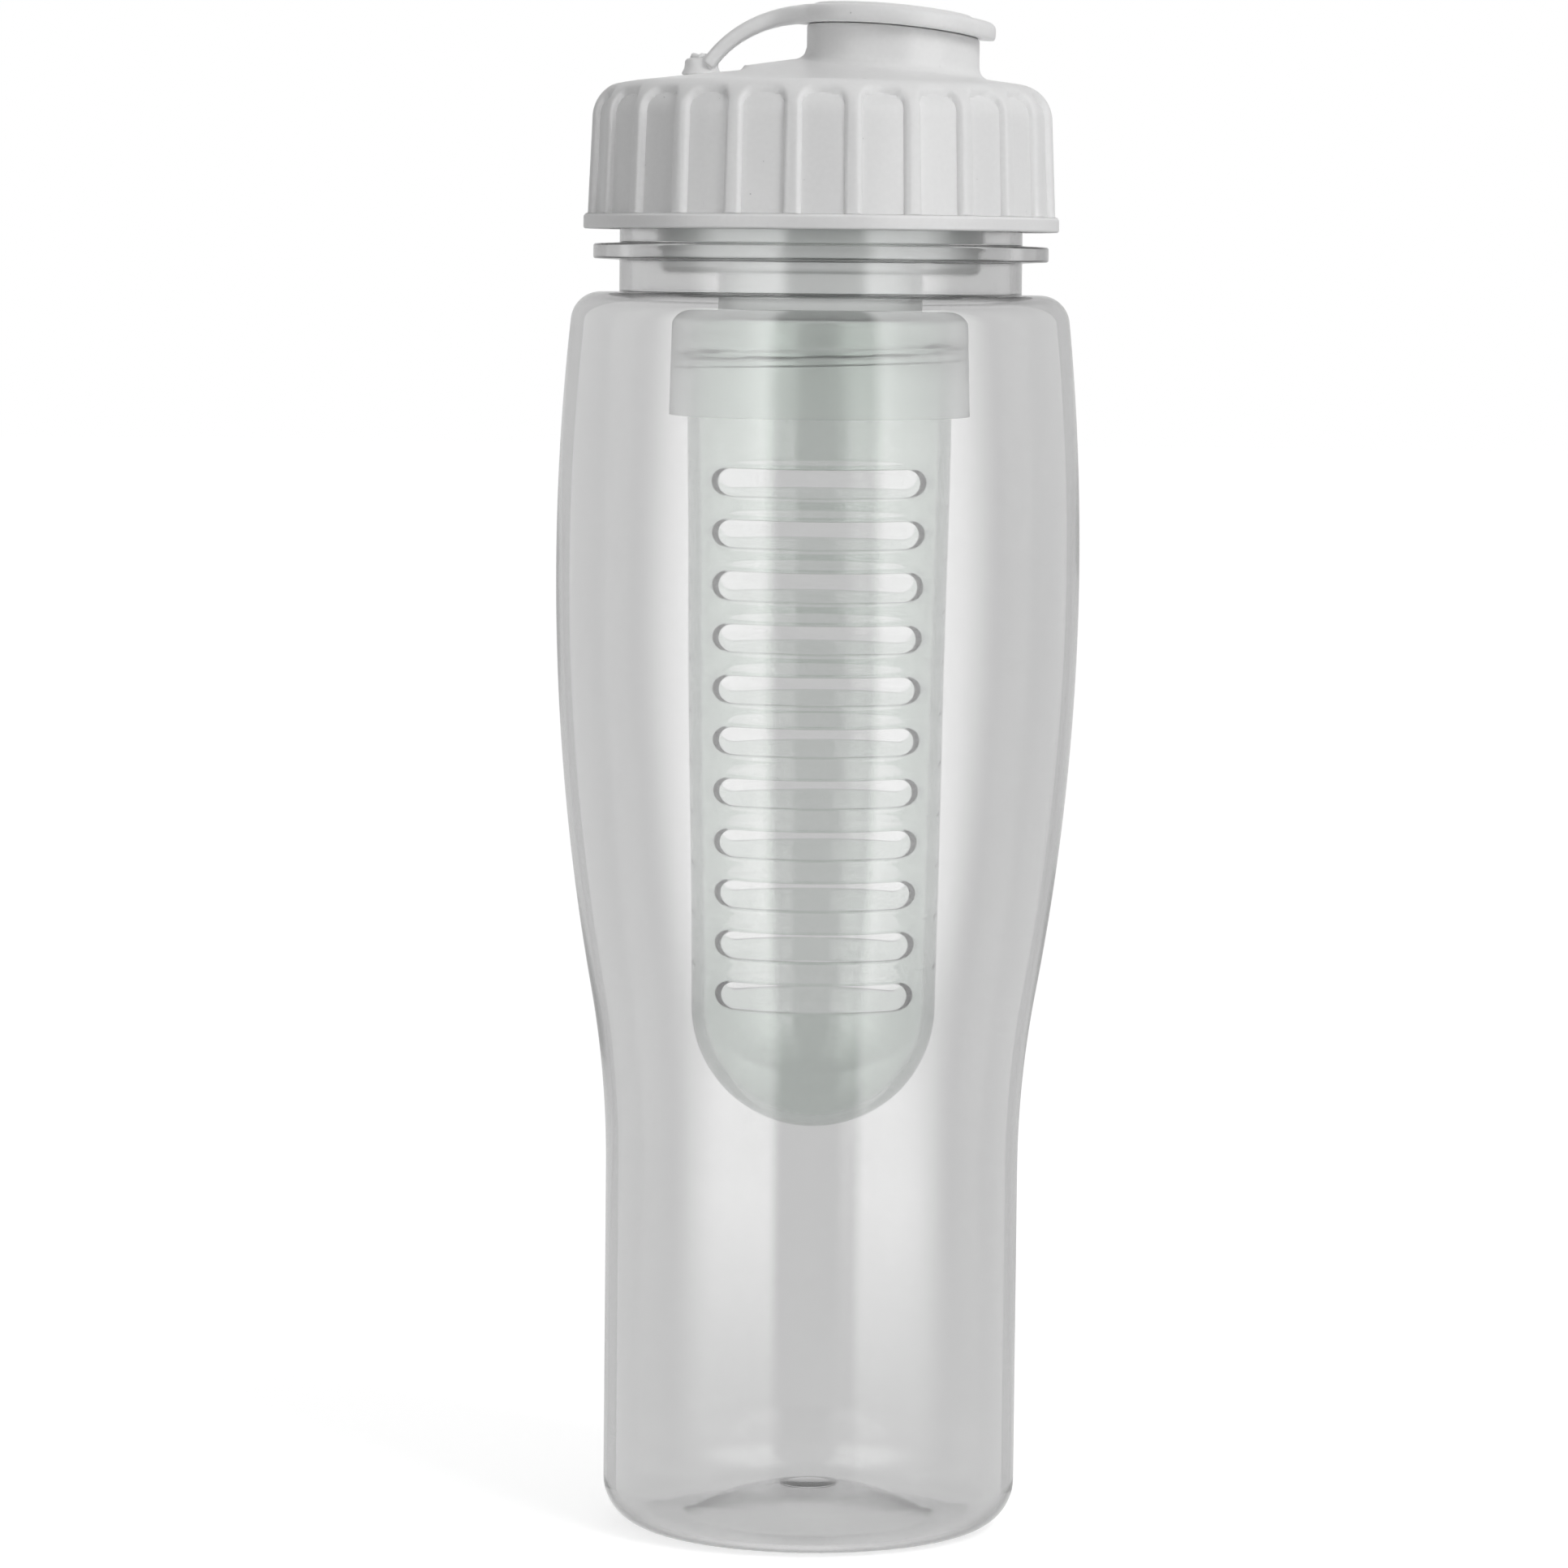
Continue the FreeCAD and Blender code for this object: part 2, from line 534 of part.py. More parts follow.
def infuser_head():
    """The frosted head: cup, neck with its strainer, and the threaded bell."""
    step = CUP_RADIUS - CUP_STEP
    inside = step - CUP_WALL
    grate = BELL_CEILING + STRAINER_THICKNESS
    bell_round = xz(BELL_RADIUS - BELL_ROUND, BELL_TOP - BELL_ROUND)
    cup_round = xz(CUP_RADIUS - CUP_ROUND, CUP_BOTTOM + CUP_ROUND)
    head = turned(outline(
        xz(0, BELL_CEILING),
        xz(BELL_BORE, BELL_CEILING),
        xz(BELL_BORE, BELL_BOTTOM),
        xz(BELL_RADIUS + BELL_DRAFT, BELL_BOTTOM),
        xz(BELL_RADIUS, BELL_TOP - BELL_ROUND),
        (bell_round, bell_round + Vector(0, 0, BELL_ROUND)),
        xz(HEAD_NECK_RADIUS, BELL_TOP),
        xz(HEAD_NECK_RADIUS, CUP_BOTTOM),
        xz(CUP_RADIUS - CUP_ROUND, CUP_BOTTOM),
        (cup_round, cup_round + Vector(CUP_ROUND, 0, 0)),
        xz(CUP_RADIUS, SEAL_BOTTOM),
        xz(step, SEAL_BOTTOM),
        xz(step, CUP_TOP),
        xz(inside, CUP_TOP),
        xz(inside, CUP_BOTTOM + CUP_FLOOR),
        xz(THROAT, CUP_BOTTOM + CUP_FLOOR),
        xz(THROAT, grate),
        xz(0, grate),
    ))
    hole_low = BELL_CEILING - CUT_MARGIN
    hole_high = grate + CUT_MARGIN
    holes = [drum(0, STRAINER_HOLE, hole_low, hole_high)]
    for row in range(1, STRAINER_RINGS + 1):
        ring_holes = row * FIRST_RING_HOLES
        for place in range(ring_holes):
            hole = drum(row * STRAINER_PITCH, STRAINER_HOLE, hole_low, hole_high)
            hole.rotate(Vector(0, 0, 0), Z_AXIS, place * 360 / ring_holes)
            holes.append(hole)
    drop = thread_drop(BASKET_THREAD_ROOT, BASKET_THREAD_CREST)
    ridge = thread(BELL_BORE, CREST_CLEARANCE - BASKET_THREAD_DEPTH, BASKET_THREAD_ROOT, BASKET_THREAD_CREST,
                   BASKET_LEAD, BASKET_TURNS, BASKET_THREAD_LOW - drop)
    return head.cut(holes).fuse(ridge)


def basket_radius(height):
    """The outer radius of the basket's tapering tube at a height."""
    collar_low = BASKET_RIM - BASKET_COLLAR
    share = (collar_low - height) / (collar_low - BASKET_EQUATOR)
    return BASKET_RADIUS + (BASKET_TIP_RADIUS - BASKET_RADIUS) * share


def infuser_basket():
    """The clear fruit tube: threaded collar, taper, slots front and back, and a round bottom."""
    collar_low = BASKET_RIM - BASKET_COLLAR
    tip_centre = xz(0, BASKET_EQUATOR)
    tube = turned(outline(
        xz(0, BASKET_BOTTOM),
        (tip_centre, xz(BASKET_TIP_RADIUS, BASKET_EQUATOR)),
        xz(BASKET_RADIUS, collar_low),
        xz(BASKET_RADIUS, BASKET_RIM),
        xz(BASKET_RADIUS - BASKET_WALL, BASKET_RIM),
        xz(BASKET_RADIUS - BASKET_WALL, collar_low),
        xz(BASKET_TIP_RADIUS - BASKET_WALL, BASKET_EQUATOR),
        (tip_centre, xz(0, BASKET_BOTTOM + BASKET_WALL)),
    ))
    reach = BASKET_RADIUS + CUT_MARGIN
    slots = []
    for place in range(SLOT_COUNT):
        middle = BASKET_RIM - FIRST_SLOT - place * SLOT_PITCH
        bend = basket_radius(middle) - SLOT_INSET - SLOT_HEIGHT / 2
        rise = Vector(0, 0, SLOT_HEIGHT / 2)
        right = xz(bend, middle)
        left = xz(-bend, middle)
        out = Vector(SLOT_HEIGHT / 2, 0, 0)
        face = outline(left + rise, (left, left - out), (left, left - rise),
                       right - rise, (right, right + out), (right, right + rise))
        slot = face.extrude(Vector(0, 2 * reach, 0))
        slot.translate(Vector(0, -reach, 0))
        slots.append(slot)
    ridge = thread(BASKET_RADIUS, BASKET_THREAD_DEPTH, BASKET_THREAD_ROOT, BASKET_THREAD_CREST,
                   BASKET_LEAD, BASKET_TURNS, BASKET_THREAD_LOW)
    return tube.cut(slots).fuse(ridge)


NODES = [
    bottle_body,
    lid_gasket,
    screw_lid,
    strap_anchor,
    flip_cap,
    infuser_seal,
    infuser_head,
    infuser_basket,
]


def main():
    os.makedirs("parts", exist_ok=True)
    for make in NODES:
        shape = make()
        shape.exportStep("parts/" + make.__name__ + ".step")
        print(make.__name__, len(shape.Solids), "solid, valid", shape.isValid(), round(shape.Volume), "mm3")


main()
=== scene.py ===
import math

import bmesh
import bpy
import numpy as np
from mathutils import Matrix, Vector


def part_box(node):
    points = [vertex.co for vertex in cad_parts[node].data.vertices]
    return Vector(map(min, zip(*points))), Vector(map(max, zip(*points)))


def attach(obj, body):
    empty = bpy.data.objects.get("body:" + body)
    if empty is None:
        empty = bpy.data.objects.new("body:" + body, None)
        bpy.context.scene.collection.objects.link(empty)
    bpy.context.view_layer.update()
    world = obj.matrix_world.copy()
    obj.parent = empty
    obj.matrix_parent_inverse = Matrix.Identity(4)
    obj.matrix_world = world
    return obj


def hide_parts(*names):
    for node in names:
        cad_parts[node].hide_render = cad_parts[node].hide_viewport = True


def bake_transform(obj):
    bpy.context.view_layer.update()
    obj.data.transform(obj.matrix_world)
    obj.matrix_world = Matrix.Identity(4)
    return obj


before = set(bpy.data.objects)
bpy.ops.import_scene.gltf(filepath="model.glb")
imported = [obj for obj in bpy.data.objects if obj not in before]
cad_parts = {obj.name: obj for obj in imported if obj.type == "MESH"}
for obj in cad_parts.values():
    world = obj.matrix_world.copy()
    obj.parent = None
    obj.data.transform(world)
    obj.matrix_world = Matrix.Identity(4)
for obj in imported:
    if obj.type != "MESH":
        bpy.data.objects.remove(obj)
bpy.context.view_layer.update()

# Looks of a fruit infuser water bottle. Shapes are written in millimetres in the part's own frame: +Z up,
# the origin under the middle of the foot, +X towards the spout, the front at -Y.
MM = 0.001


def box_mm(node):
    """A node's lowest and highest corners, in millimetres."""
    low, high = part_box(node)
    return low / MM, high / MM


BOTTLE_HIGH = box_mm("bottle_body")[1]
LID_LOW, LID_HIGH = box_mm("screw_lid")
CAP_HIGH = box_mm("flip_cap")[1]
BASKET_LOW, BASKET_HIGH = box_mm("infuser_basket")

# Bottle. A thread is (depth, width at its root, width at its crest), and runs out over a share of a turn.
LIP = BOTTLE_HIGH.z
LIP_ROUND = 0.5
LIP_INNER_ROUND = 0.4
NECK_RADIUS = 29.9
NECK_BORE = 28.4
NECK_ROOT_ROUND = 0.15
NECK_INNER_ROUND = 0.2
BODY_WALL = 1.0
SHOULDER_WALL = 0.3
HEEL_WALL = 0.6
BASE_WALL = 0.9
BULGE_RADIUS = BOTTLE_HIGH.x
BULGE_HEIGHT = 143.8
GRIP_RADIUS = 30.9
GRIP_TOP = 54.0
GRIP_CURVE = 150.0
SHOULDER_HEIGHT = 184.7
SHOULDER_ROUND = 4.4
SHOULDER_EASE = 1.92
SHOULDER_RADIUS = BULGE_RADIUS - SHOULDER_EASE - SHOULDER_ROUND
HEEL_ROUND = 6.9
FOOT_RING_WIDTH = 5.5
FOOT_ROUND = 2.5
PUSH_UP_RISE = 5.5
GATE_RADIUS = 4.2
GATE_DEPTH = 0.25
GATE_ROUND = 0.15
BEAD_BOTTOM = 189.4
BEAD_TOP = 192.0
BEAD_RADIUS = 33.8
BEAD_SLANT = 0.2
BEAD_ROUND = 0.35
BEAD_ROOT_ROUND = 0.2
THREAD_RUN_OUT = 0.06
NECK_LEAD = 4.5
NECK_TURNS = 1.3
NECK_THREAD = (1.7, 2.4, 1.1)
NECK_THREAD_DROP = 3.2
NECK_THREAD_LOW = LIP - NECK_THREAD_DROP - NECK_LEAD * NECK_TURNS
NECK_THREADED = LID_LOW.z + 5.0

# The inner wall's faint unevenness: waves of (share, lobes, turn for each millimetre up, start), and the
# heights where they fade
WALL_WAVE = 0.02
WALL_WAVES = ((1.0, 5, 0.11, 0.0), (0.7, 3, -0.07, 1.0), (0.5, 8, 0.05, 0.0))
WAVE_LOW = 8.0
WAVE_LOW_FADE = 20.0
WAVE_HIGH = SHOULDER_HEIGHT - 4.0
WAVE_HIGH_FADE = 12.0

# Lid
LID_BOTTOM = LID_LOW.z
FLANGE_RADIUS = LID_HIGH.x
FLANGE_TOP = LID_BOTTOM + 2.2
FLANGE_REACH = 0.5
FLANGE_LOW_ROUND = 0.35
FLANGE_TOP_ROUND = 0.5
RIB_LEAN = 0.6
RIB_LOW_RADIUS = FLANGE_RADIUS - FLANGE_REACH
RIB_TOP_RADIUS = RIB_LOW_RADIUS - RIB_LEAN
RIB_ROOT_ROUND = 0.3
RIB_SILL = (RIB_LOW_RADIUS - 0.04, FLANGE_TOP + 0.8)
RIB_FOOT = (RIB_LOW_RADIUS - 0.1, FLANGE_TOP + 2.4)
LID_BORE = 32.0
LID_MOUTH = LID_BORE + 0.4
LID_CEILING = LIP + 1.5
LID_INNER_ROUND = 0.3
DECK = LID_CEILING + 2.8
DECK_SLOPE = math.radians(8.0)
LID_ROUND = 5.5
WINDOW_COUNT = 24
WINDOW_HALF = 3.2
WINDOW_DEPTH = 1.0
WINDOW_SILL = FLANGE_TOP + 0.05
WINDOW_TOP = DECK - 1.4
WINDOW_CORNER = 2.3
WINDOW_EDGE = 0.8
SOCKET_BORE = 24.35
SOCKET_OUTER = 25.85
SOCKET_INNER = 22.65
SOCKET_LEDGE = 200.0
SOCKET_LEDGE_ROUND = 0.2
SOCKET_BOTTOM = LID_BOTTOM + 0.3
UNDER_PEAK = 217.63
LID_THREAD = (-1.4, 2.4, 1.1)
LID_THREAD_LOW = NECK_THREAD_LOW - 2.05
LID_THREADED = (LIP - 3.0, LID_BOTTOM + 2.0)
SPOUT_X = 10.4
SPOUT_RADIUS = 12.8
SPOUT_BORE = 11.2
SPOUT_FILLET = 1.6
SPOUT_NEAR = SPOUT_X - SPOUT_RADIUS
RIM = DECK + 8.8
RIM_ROUND = 0.45
LANDING_EDGE = -11.8
LANDING_RISE = 0.75
LANDING_SLOPE = 0.1
LANDING_BLUNT = 0.35

# Stud: a profile of (radius, height over the landing, round), and the waves of its melted side and top
STUD_X = -18.0
STUD = ((0, 1.0, 0), (0.9, 1.0, 0), (0.9, 2.5, 0.1), (1.75, 2.6, 0.35), (1.55, 3.5, 0.45), (0, 3.2, 0))
STUD_SIDE_WAVES = ((0.10, 3, 0.0, 0.4), (0.08, 7, 0.0, 1.3), (0.05, 13, 0.0, 0.0))
STUD_TOP_WAVES = ((0.12, 5, 0.0, 2.0), (0.08, 11, 0.0, 0.0))
STUD_TOP_REACH = 1.6
STUD_SINK = 0.05
STUD_MELT = 2.5
STUD_MELT_FADE = 0.6

# Flip cap. The strap's angles are in degrees round the middle of its arch.
CAP_RADIUS = CAP_HIGH.x - SPOUT_X
CAP_THICKNESS = 2.6
CAP_TOP = RIM + CAP_THICKNESS
CAP_CURVE = 160.0
CAP_GAP = 0.1
CAP_TOP_ROUND = 0.95
CAP_LOW_ROUND = 0.35
CAP_STEP = 0.12
CAP_STEP_HEIGHTS = (0.6, 0.7)
CAP_STEP_ROUNDS = (0.1, 0.15)
PLATEAU_RADIUS = 11.5
PLATEAU_RISE = 0.5
PLATEAU_SLANT = 0.45
PLATEAU_ROUNDS = (0.5, 0.4)
PLUG_RADIUS = 11.1
PLUG_WALL = 1.3
PLUG_DEPTH = 2.6
PLUG_LEANS = (0.3, 0.5)
PLUG_TIP_ROUND = 0.4
PLUG_ROOT_ROUNDS = (0.3, 0.5)
STRAP_CURVE = 16.5
STRAP_HALF = 4.0
STRAP_NARROWING = 0.5
STRAP_THINNING = 0.45
STRAP_TAPER_FROM = 84.0
STRAP_FLARE = 6.0
STRAP_FLARE_ANGLES = (112.0, 34.0)
STRAP_LIFT = 0.25
STRAP_LIFT_ANGLES = (100.0, 40.0)
STRAP_START_ANGLE = 70.0
STRAP_END_ANGLE = 145.0
STRAP_SQUARENESS = (0.4, 0.6)
EYELET = ((0, 0.2, 0), (3.15, 0.2, 0.25), (2.5, 1.3, 1.2), (2.45, 2.75, 0.7), (0, 2.85, 0))

# Basket
BASKET_BOTTOM = BASKET_LOW.z
BASKET_RIM = BASKET_HIGH.z
BASKET_RADIUS = 19.6
BASKET_TIP_RADIUS = 18.3
BASKET_WALL = 1.7
BASKET_COLLAR = 163.9
BASKET_EQUATOR = BASKET_BOTTOM + BASKET_TIP_RADIUS
BASKET_MOUTH_ROUND = 0.4
BASKET_MOUTH = (BASKET_RIM - 0.6, BASKET_RIM - 1.0)
SLOT_COUNT = 11
SLOT_TOP = BASKET_RIM - 23.6
SLOT_PITCH = 7.56
SLOT_HALF = 2.0
SLOT_INSET = 4.65
SLOT_ROUND = 0.35
SLOT_LAND = SLOT_ROUND + 0.25
BASKET_LEAD = 3.2
BASKET_TURNS = 1.5
BASKET_THREAD = (1.15, 1.4, 0.6)
BASKET_THREAD_DROP = 2.2
BASKET_THREAD_LOW = BASKET_RIM - BASKET_THREAD_DROP - BASKET_LEAD * BASKET_TURNS
BASKET_THREADED = BASKET_THREAD_LOW - 2.0
BASKET_OUTSIDE = BASKET_RADIUS - 0.3

# Fineness of the meshes: steps of arcs, rows, columns, and steps along straight runs in millimetres
WELD = 1e-4
TINY = 1e-6
SHARP_ANGLE = 40.0
SIDE_STEPS = 28
SHOULDER_STEPS = 12
DOME_STEPS = (16, 20)
FOOT_STEPS = 8
HEEL_STEPS = 16
LIP_STEPS = 4
GRIP_STEP = 3.0
NECK_THREAD_STEP = 0.3
BOTTLE_COLUMNS = 224
WINDOW_COLUMNS = (0, 2.2, 4.0, 4.8, 5.12, 5.26, 5.38, 5.52, 5.75, 6.1, 6.6, 7.5)
SILL_STEP = 0.4
RIB_STEP = 1.4
LID_ROUND_STEPS = 26
LID_THREAD_STEP = 0.35
DECK_SHARES = (0.0, 0.9, 44)
FILLET_SHARES = (0.915, 1.0, 9)
SPOUT_ROWS = 8
UNDER_ROWS = 9
STUD_COLUMNS = 48
CAP_COLUMNS = 128
STRAP_ROWS = 60
STRAP_COLUMNS = 28
EYELET_COLUMNS = 64
CAP_VOXEL = 0.24
CAP_SOFTENING = (0.5, 5)
BASKET_COLUMNS = 61
BASKET_CROWDING = 0.38
BASKET_TIP_STEPS = 26
COLLAR_STEP = 1.5
BASKET_THREAD_STEP = 0.25
BASKET_INNER_STEP = 2.0
SLOT_SIDES = 8
SLOT_EDGE_STEPS = 4
SLOT_SHARES = (1, 0.7, 0.45, 0.22)


def arc(centre, radius, start, end, steps):
    """Points of a profile on an arc between two angles in degrees."""
    turn = np.radians(np.linspace(start, end, steps + 1))
    return np.column_stack((centre[0] + radius * np.cos(turn), centre[1] + radius * np.sin(turn)))


def unit(vector):
    """A vector's direction."""
    return vector / np.linalg.norm(vector)


def rounded(corners, steps=6, near=0.2):
    """A profile through (r, z, round) corners, with points near both ends of long runs to keep them flat."""
    spots = [np.array(corner[:2], float) for corner in corners]
    points = [spots[0]]
    for before, here, after, corner in zip(spots, spots[1:], spots[2:], corners[1:]):
        if corner[2] == 0:
            points.append(here)
            continue
        back, ahead = unit(before - here), unit(after - here)
        half = math.acos(np.clip(back @ ahead, -1, 1)) / 2
        centre = here + unit(back + ahead) * corner[2] / math.sin(half)
        reach = corner[2] / math.tan(half)
        first, last = here + back * reach - centre, here + ahead * reach - centre
        begin = math.degrees(math.atan2(first[1], first[0]))
        sweep = math.degrees(math.atan2(first[0] * last[1] - first[1] * last[0], first @ last))
        points.extend(arc(centre, corner[2], begin, begin + sweep, steps))
    points.append(spots[-1])
    profile = [points[0]]
    for a, b in zip(points, points[1:]):
        length = np.linalg.norm(b - a)
        if length > 4 * near:
            profile.extend((a + (b - a) * near / length, b - (b - a) * near / length))
        profile.append(b)
    return np.array(profile)


def run(start, end, step):
    """Points of a straight profile run at an even step, both ends included."""
    start, end = np.array(start, float), np.array(end, float)
    count = max(1, math.ceil(np.linalg.norm(end - start) / step))
    return start + (end - start) * np.linspace(0, 1, count + 1)[:, None]


def heights(start, end, step):
    """Heights at an even step, both ends included."""
    return run((0, start), (0, end), step)[:, 1]


def columns(count):
    """Angles at an even step, once round."""
    return np.linspace(0, 2 * math.pi, count, endpoint=False)


def smooth(value):
    """A soft step from 0 to 1."""
    value = np.clip(value, 0, 1)
    return value * value * (3 - 2 * value)


def waves(table, turn, z=0.0):
    """The sum of waves of (size, lobes, turn for each millimetre up, start) round the Z axis."""
    return sum(size * np.sin(lobes * turn + z * climb + start) for size, lobes, climb, start in table)


def turned(profile, turn):
    """Rows of points from a profile turned round the Z axis."""
    radius, height = profile[:, :1], profile[:, 1:2]
    return np.stack((radius * np.cos(turn), radius * np.sin(turn), height + 0 * turn), axis=-1)


def pushed(rows, distance):
    """Rows of points moved away from the Z axis by a distance for each point."""
    radius = np.hypot(rows[..., 0], rows[..., 1])
    scale = 1 + distance / np.maximum(radius, TINY)
    return rows * np.stack((scale, scale, np.ones_like(scale)), axis=-1)


def ridge(rows, sizes, lead, turns, low):
    """How far a thread of (depth, root, crest) stands out of the wall at each point."""
    depth, root, crest = sizes
    lap = np.arctan2(rows[..., 1], rows[..., 0]) / (2 * math.pi) % 1.0
    height = np.zeros(rows.shape[:2])
    for whole in range(math.ceil(turns) + 1):
        along = lap + whole
        flank = (root / 2 - np.abs(rows[..., 2] - low - lead * along)) / ((root - crest) / 2)
        run_out = np.clip((turns - along) / THREAD_RUN_OUT, 0, 1) * np.clip(along / THREAD_RUN_OUT, 0, 1)
        height = np.maximum(height, smooth(flank) * run_out)
    return depth * height


def piece(name, patches, wrap_rows=(), body=None):
    """An object from patches of point rows, whose columns close on themselves, welded where they meet."""
    points, faces, base = [], [], 0
    for number, rows in enumerate(patches):
        count, across = rows.shape[:2]
        index = base + np.arange(count * across).reshape(count, across)
        lower = index if number in wrap_rows else index[:-1]
        upper = np.roll(index, -1, axis=0) if number in wrap_rows else index[1:]
        corners = (lower, np.roll(lower, -1, axis=1), np.roll(upper, -1, axis=1), upper)
        faces.append(np.stack(corners, axis=-1).reshape(-1, 4))
        points.append(rows.reshape(-1, 3))
        base += count * across
    points, faces = np.concatenate(points), np.concatenate(faces)
    keys = np.round(points / WELD).astype(np.int64)
    _, first, merged = np.unique(keys, axis=0, return_index=True, return_inverse=True)
    faces = [list(dict.fromkeys(face)) for face in merged.reshape(-1)[faces].tolist()]
    mesh = bpy.data.meshes.new(name)
    mesh.from_pydata((points[first] * MM).tolist(), [], [face for face in faces if len(face) > 2])
    work = bmesh.new()
    work.from_mesh(mesh)
    bmesh.ops.recalc_face_normals(work, faces=work.faces)
    work.to_mesh(mesh)
    work.free()
    mesh.shade_smooth()
    mesh.set_sharp_from_angle(angle=math.radians(SHARP_ANGLE))
    made = bpy.data.objects.new(name, mesh)
    bpy.context.collection.objects.link(made)
    if body:
        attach(made, body)
    return made


def bottle_side(wall, top_wall):
    """The skin from the grip's top to the shoulder at a depth under the surface, as a profile."""
    waist = BULGE_RADIUS - GRIP_RADIUS
    climb = BULGE_HEIGHT - GRIP_TOP
    curves = (climb ** 2 + waist ** 2) / (2 * waist)
    lower = curves - GRIP_CURVE
    lean = math.degrees(math.asin(climb / curves))
    inset = SHOULDER_EASE + SHOULDER_ROUND
    rise = SHOULDER_HEIGHT - SHOULDER_ROUND - BULGE_HEIGHT
    upper = (inset ** 2 + rise ** 2 - SHOULDER_ROUND ** 2) / (2 * SHOULDER_EASE)
    end = math.degrees(math.asin(rise / (upper - SHOULDER_ROUND)))
    thinning = np.linspace(wall, top_wall, SIDE_STEPS + 1)
    grip_centre = (GRIP_RADIUS + GRIP_CURVE, GRIP_TOP)
    lower_centre = (BULGE_RADIUS - lower, BULGE_HEIGHT)
    upper_centre = (BULGE_RADIUS - upper, BULGE_HEIGHT)
    round_centre = (BULGE_RADIUS - inset, SHOULDER_HEIGHT - SHOULDER_ROUND)
    return np.concatenate((
        arc(grip_centre, GRIP_CURVE + wall, 180, 180 - lean, SIDE_STEPS),
        arc(lower_centre, lower - wall, -lean, 0, SIDE_STEPS)[1:],
        arc(upper_centre, upper - thinning, 0, end, SIDE_STEPS)[1:],
        arc(round_centre, SHOULDER_ROUND - top_wall, end, 90, SHOULDER_STEPS)[1:],
    ))


def bottle_body():
    """The clear bottle, both skins, with its push-up, bead and thread."""
    foot = GRIP_RADIUS - HEEL_ROUND
    foot_inner = foot - FOOT_RING_WIDTH
    dome = (foot_inner ** 2 + PUSH_UP_RISE ** 2) / (2 * PUSH_UP_RISE)
    dome_z = PUSH_UP_RISE - dome
    gate_z = dome_z + math.sqrt(dome ** 2 - GATE_RADIUS ** 2)
    gate_top = PUSH_UP_RISE + GATE_DEPTH
    start = math.degrees(math.acos(GATE_RADIUS / dome))
    ring = (math.sqrt((dome + FOOT_ROUND) ** 2 - (FOOT_ROUND - dome_z) ** 2), FOOT_ROUND)
    stop = math.degrees(math.atan2(FOOT_ROUND - dome_z, ring[0]))
    inner_heel = HEEL_ROUND - HEEL_WALL
    heel_z = BASE_WALL + inner_heel
    under = SHOULDER_HEIGHT - SHOULDER_WALL
    outside = np.concatenate((
        rounded([(0, gate_top, 0), (GATE_RADIUS, gate_top, GATE_ROUND), (GATE_RADIUS, gate_z, 0)],
                near=0.1)[:-1],
        arc((0, dome_z), dome, start, stop, DOME_STEPS[0])[:-1],
        arc(ring, FOOT_ROUND, stop - 180, -90, FOOT_STEPS),
        arc((foot, HEEL_ROUND), HEEL_ROUND, -90, 0, HEEL_STEPS),
        run((GRIP_RADIUS, HEEL_ROUND), (GRIP_RADIUS, GRIP_TOP), GRIP_STEP)[1:-1],
        bottle_side(0, 0),
        rounded([(SHOULDER_RADIUS, SHOULDER_HEIGHT, 0), (NECK_RADIUS, SHOULDER_HEIGHT, NECK_ROOT_ROUND),
                 (NECK_RADIUS, BEAD_BOTTOM, BEAD_ROOT_ROUND),
                 (BEAD_RADIUS, BEAD_BOTTOM + BEAD_SLANT, BEAD_ROUND),
                 (BEAD_RADIUS, BEAD_TOP - BEAD_SLANT, BEAD_ROUND),
                 (NECK_RADIUS, BEAD_TOP, BEAD_ROOT_ROUND), (NECK_RADIUS, NECK_THREADED, 0)], near=0.15)[1:-1],
        run((NECK_RADIUS, NECK_THREADED), (NECK_RADIUS, LIP - LIP_ROUND), NECK_THREAD_STEP),
        arc((NECK_RADIUS - LIP_ROUND, LIP - LIP_ROUND), LIP_ROUND, 0, 90, LIP_STEPS)[1:],
    ))
    inside = np.concatenate((
        rounded([(NECK_RADIUS - LIP_ROUND, LIP, 0), (NECK_BORE, LIP, LIP_INNER_ROUND),
                 (NECK_BORE, under, NECK_INNER_ROUND), (SHOULDER_RADIUS, under, 0)])[1:-1],
        bottle_side(BODY_WALL, SHOULDER_WALL)[::-1],
        run((GRIP_RADIUS - BODY_WALL, GRIP_TOP), (GRIP_RADIUS - HEEL_WALL, heel_z), GRIP_STEP)[1:],
        arc((foot, heel_z), inner_heel, 0, -90, HEEL_STEPS)[1:],
        arc(ring, FOOT_ROUND - BASE_WALL, -90, stop - 180, FOOT_STEPS),
        arc((0, dome_z), dome + BASE_WALL, stop, 90, DOME_STEPS[1])[1:],
    ))
    turn = columns(BOTTLE_COLUMNS)
    outer = turned(outside, turn)
    outer = pushed(outer, ridge(outer, NECK_THREAD, NECK_LEAD, NECK_TURNS, NECK_THREAD_LOW))
    inner = turned(inside, turn)
    z = inner[..., 2]
    fade = smooth((z - WAVE_LOW) / WAVE_LOW_FADE) * smooth((WAVE_HIGH - z) / WAVE_HIGH_FADE)
    inner = pushed(inner, WALL_WAVE * (waves(WALL_WAVES, turn, z) - 1) * fade)
    return piece("bottle", [np.concatenate((outer, inner))], body="bottle")


def lid_turns():
    """Angles round the lid, close together at the windows' edges."""
    half = np.array(WINDOW_COLUMNS)
    step = 360 / WINDOW_COUNT
    place = np.concatenate((-half[:0:-1], half[:-1])) * step / (2 * half[-1])
    return np.radians((place + step * np.arange(WINDOW_COUNT)[:, None]).ravel())


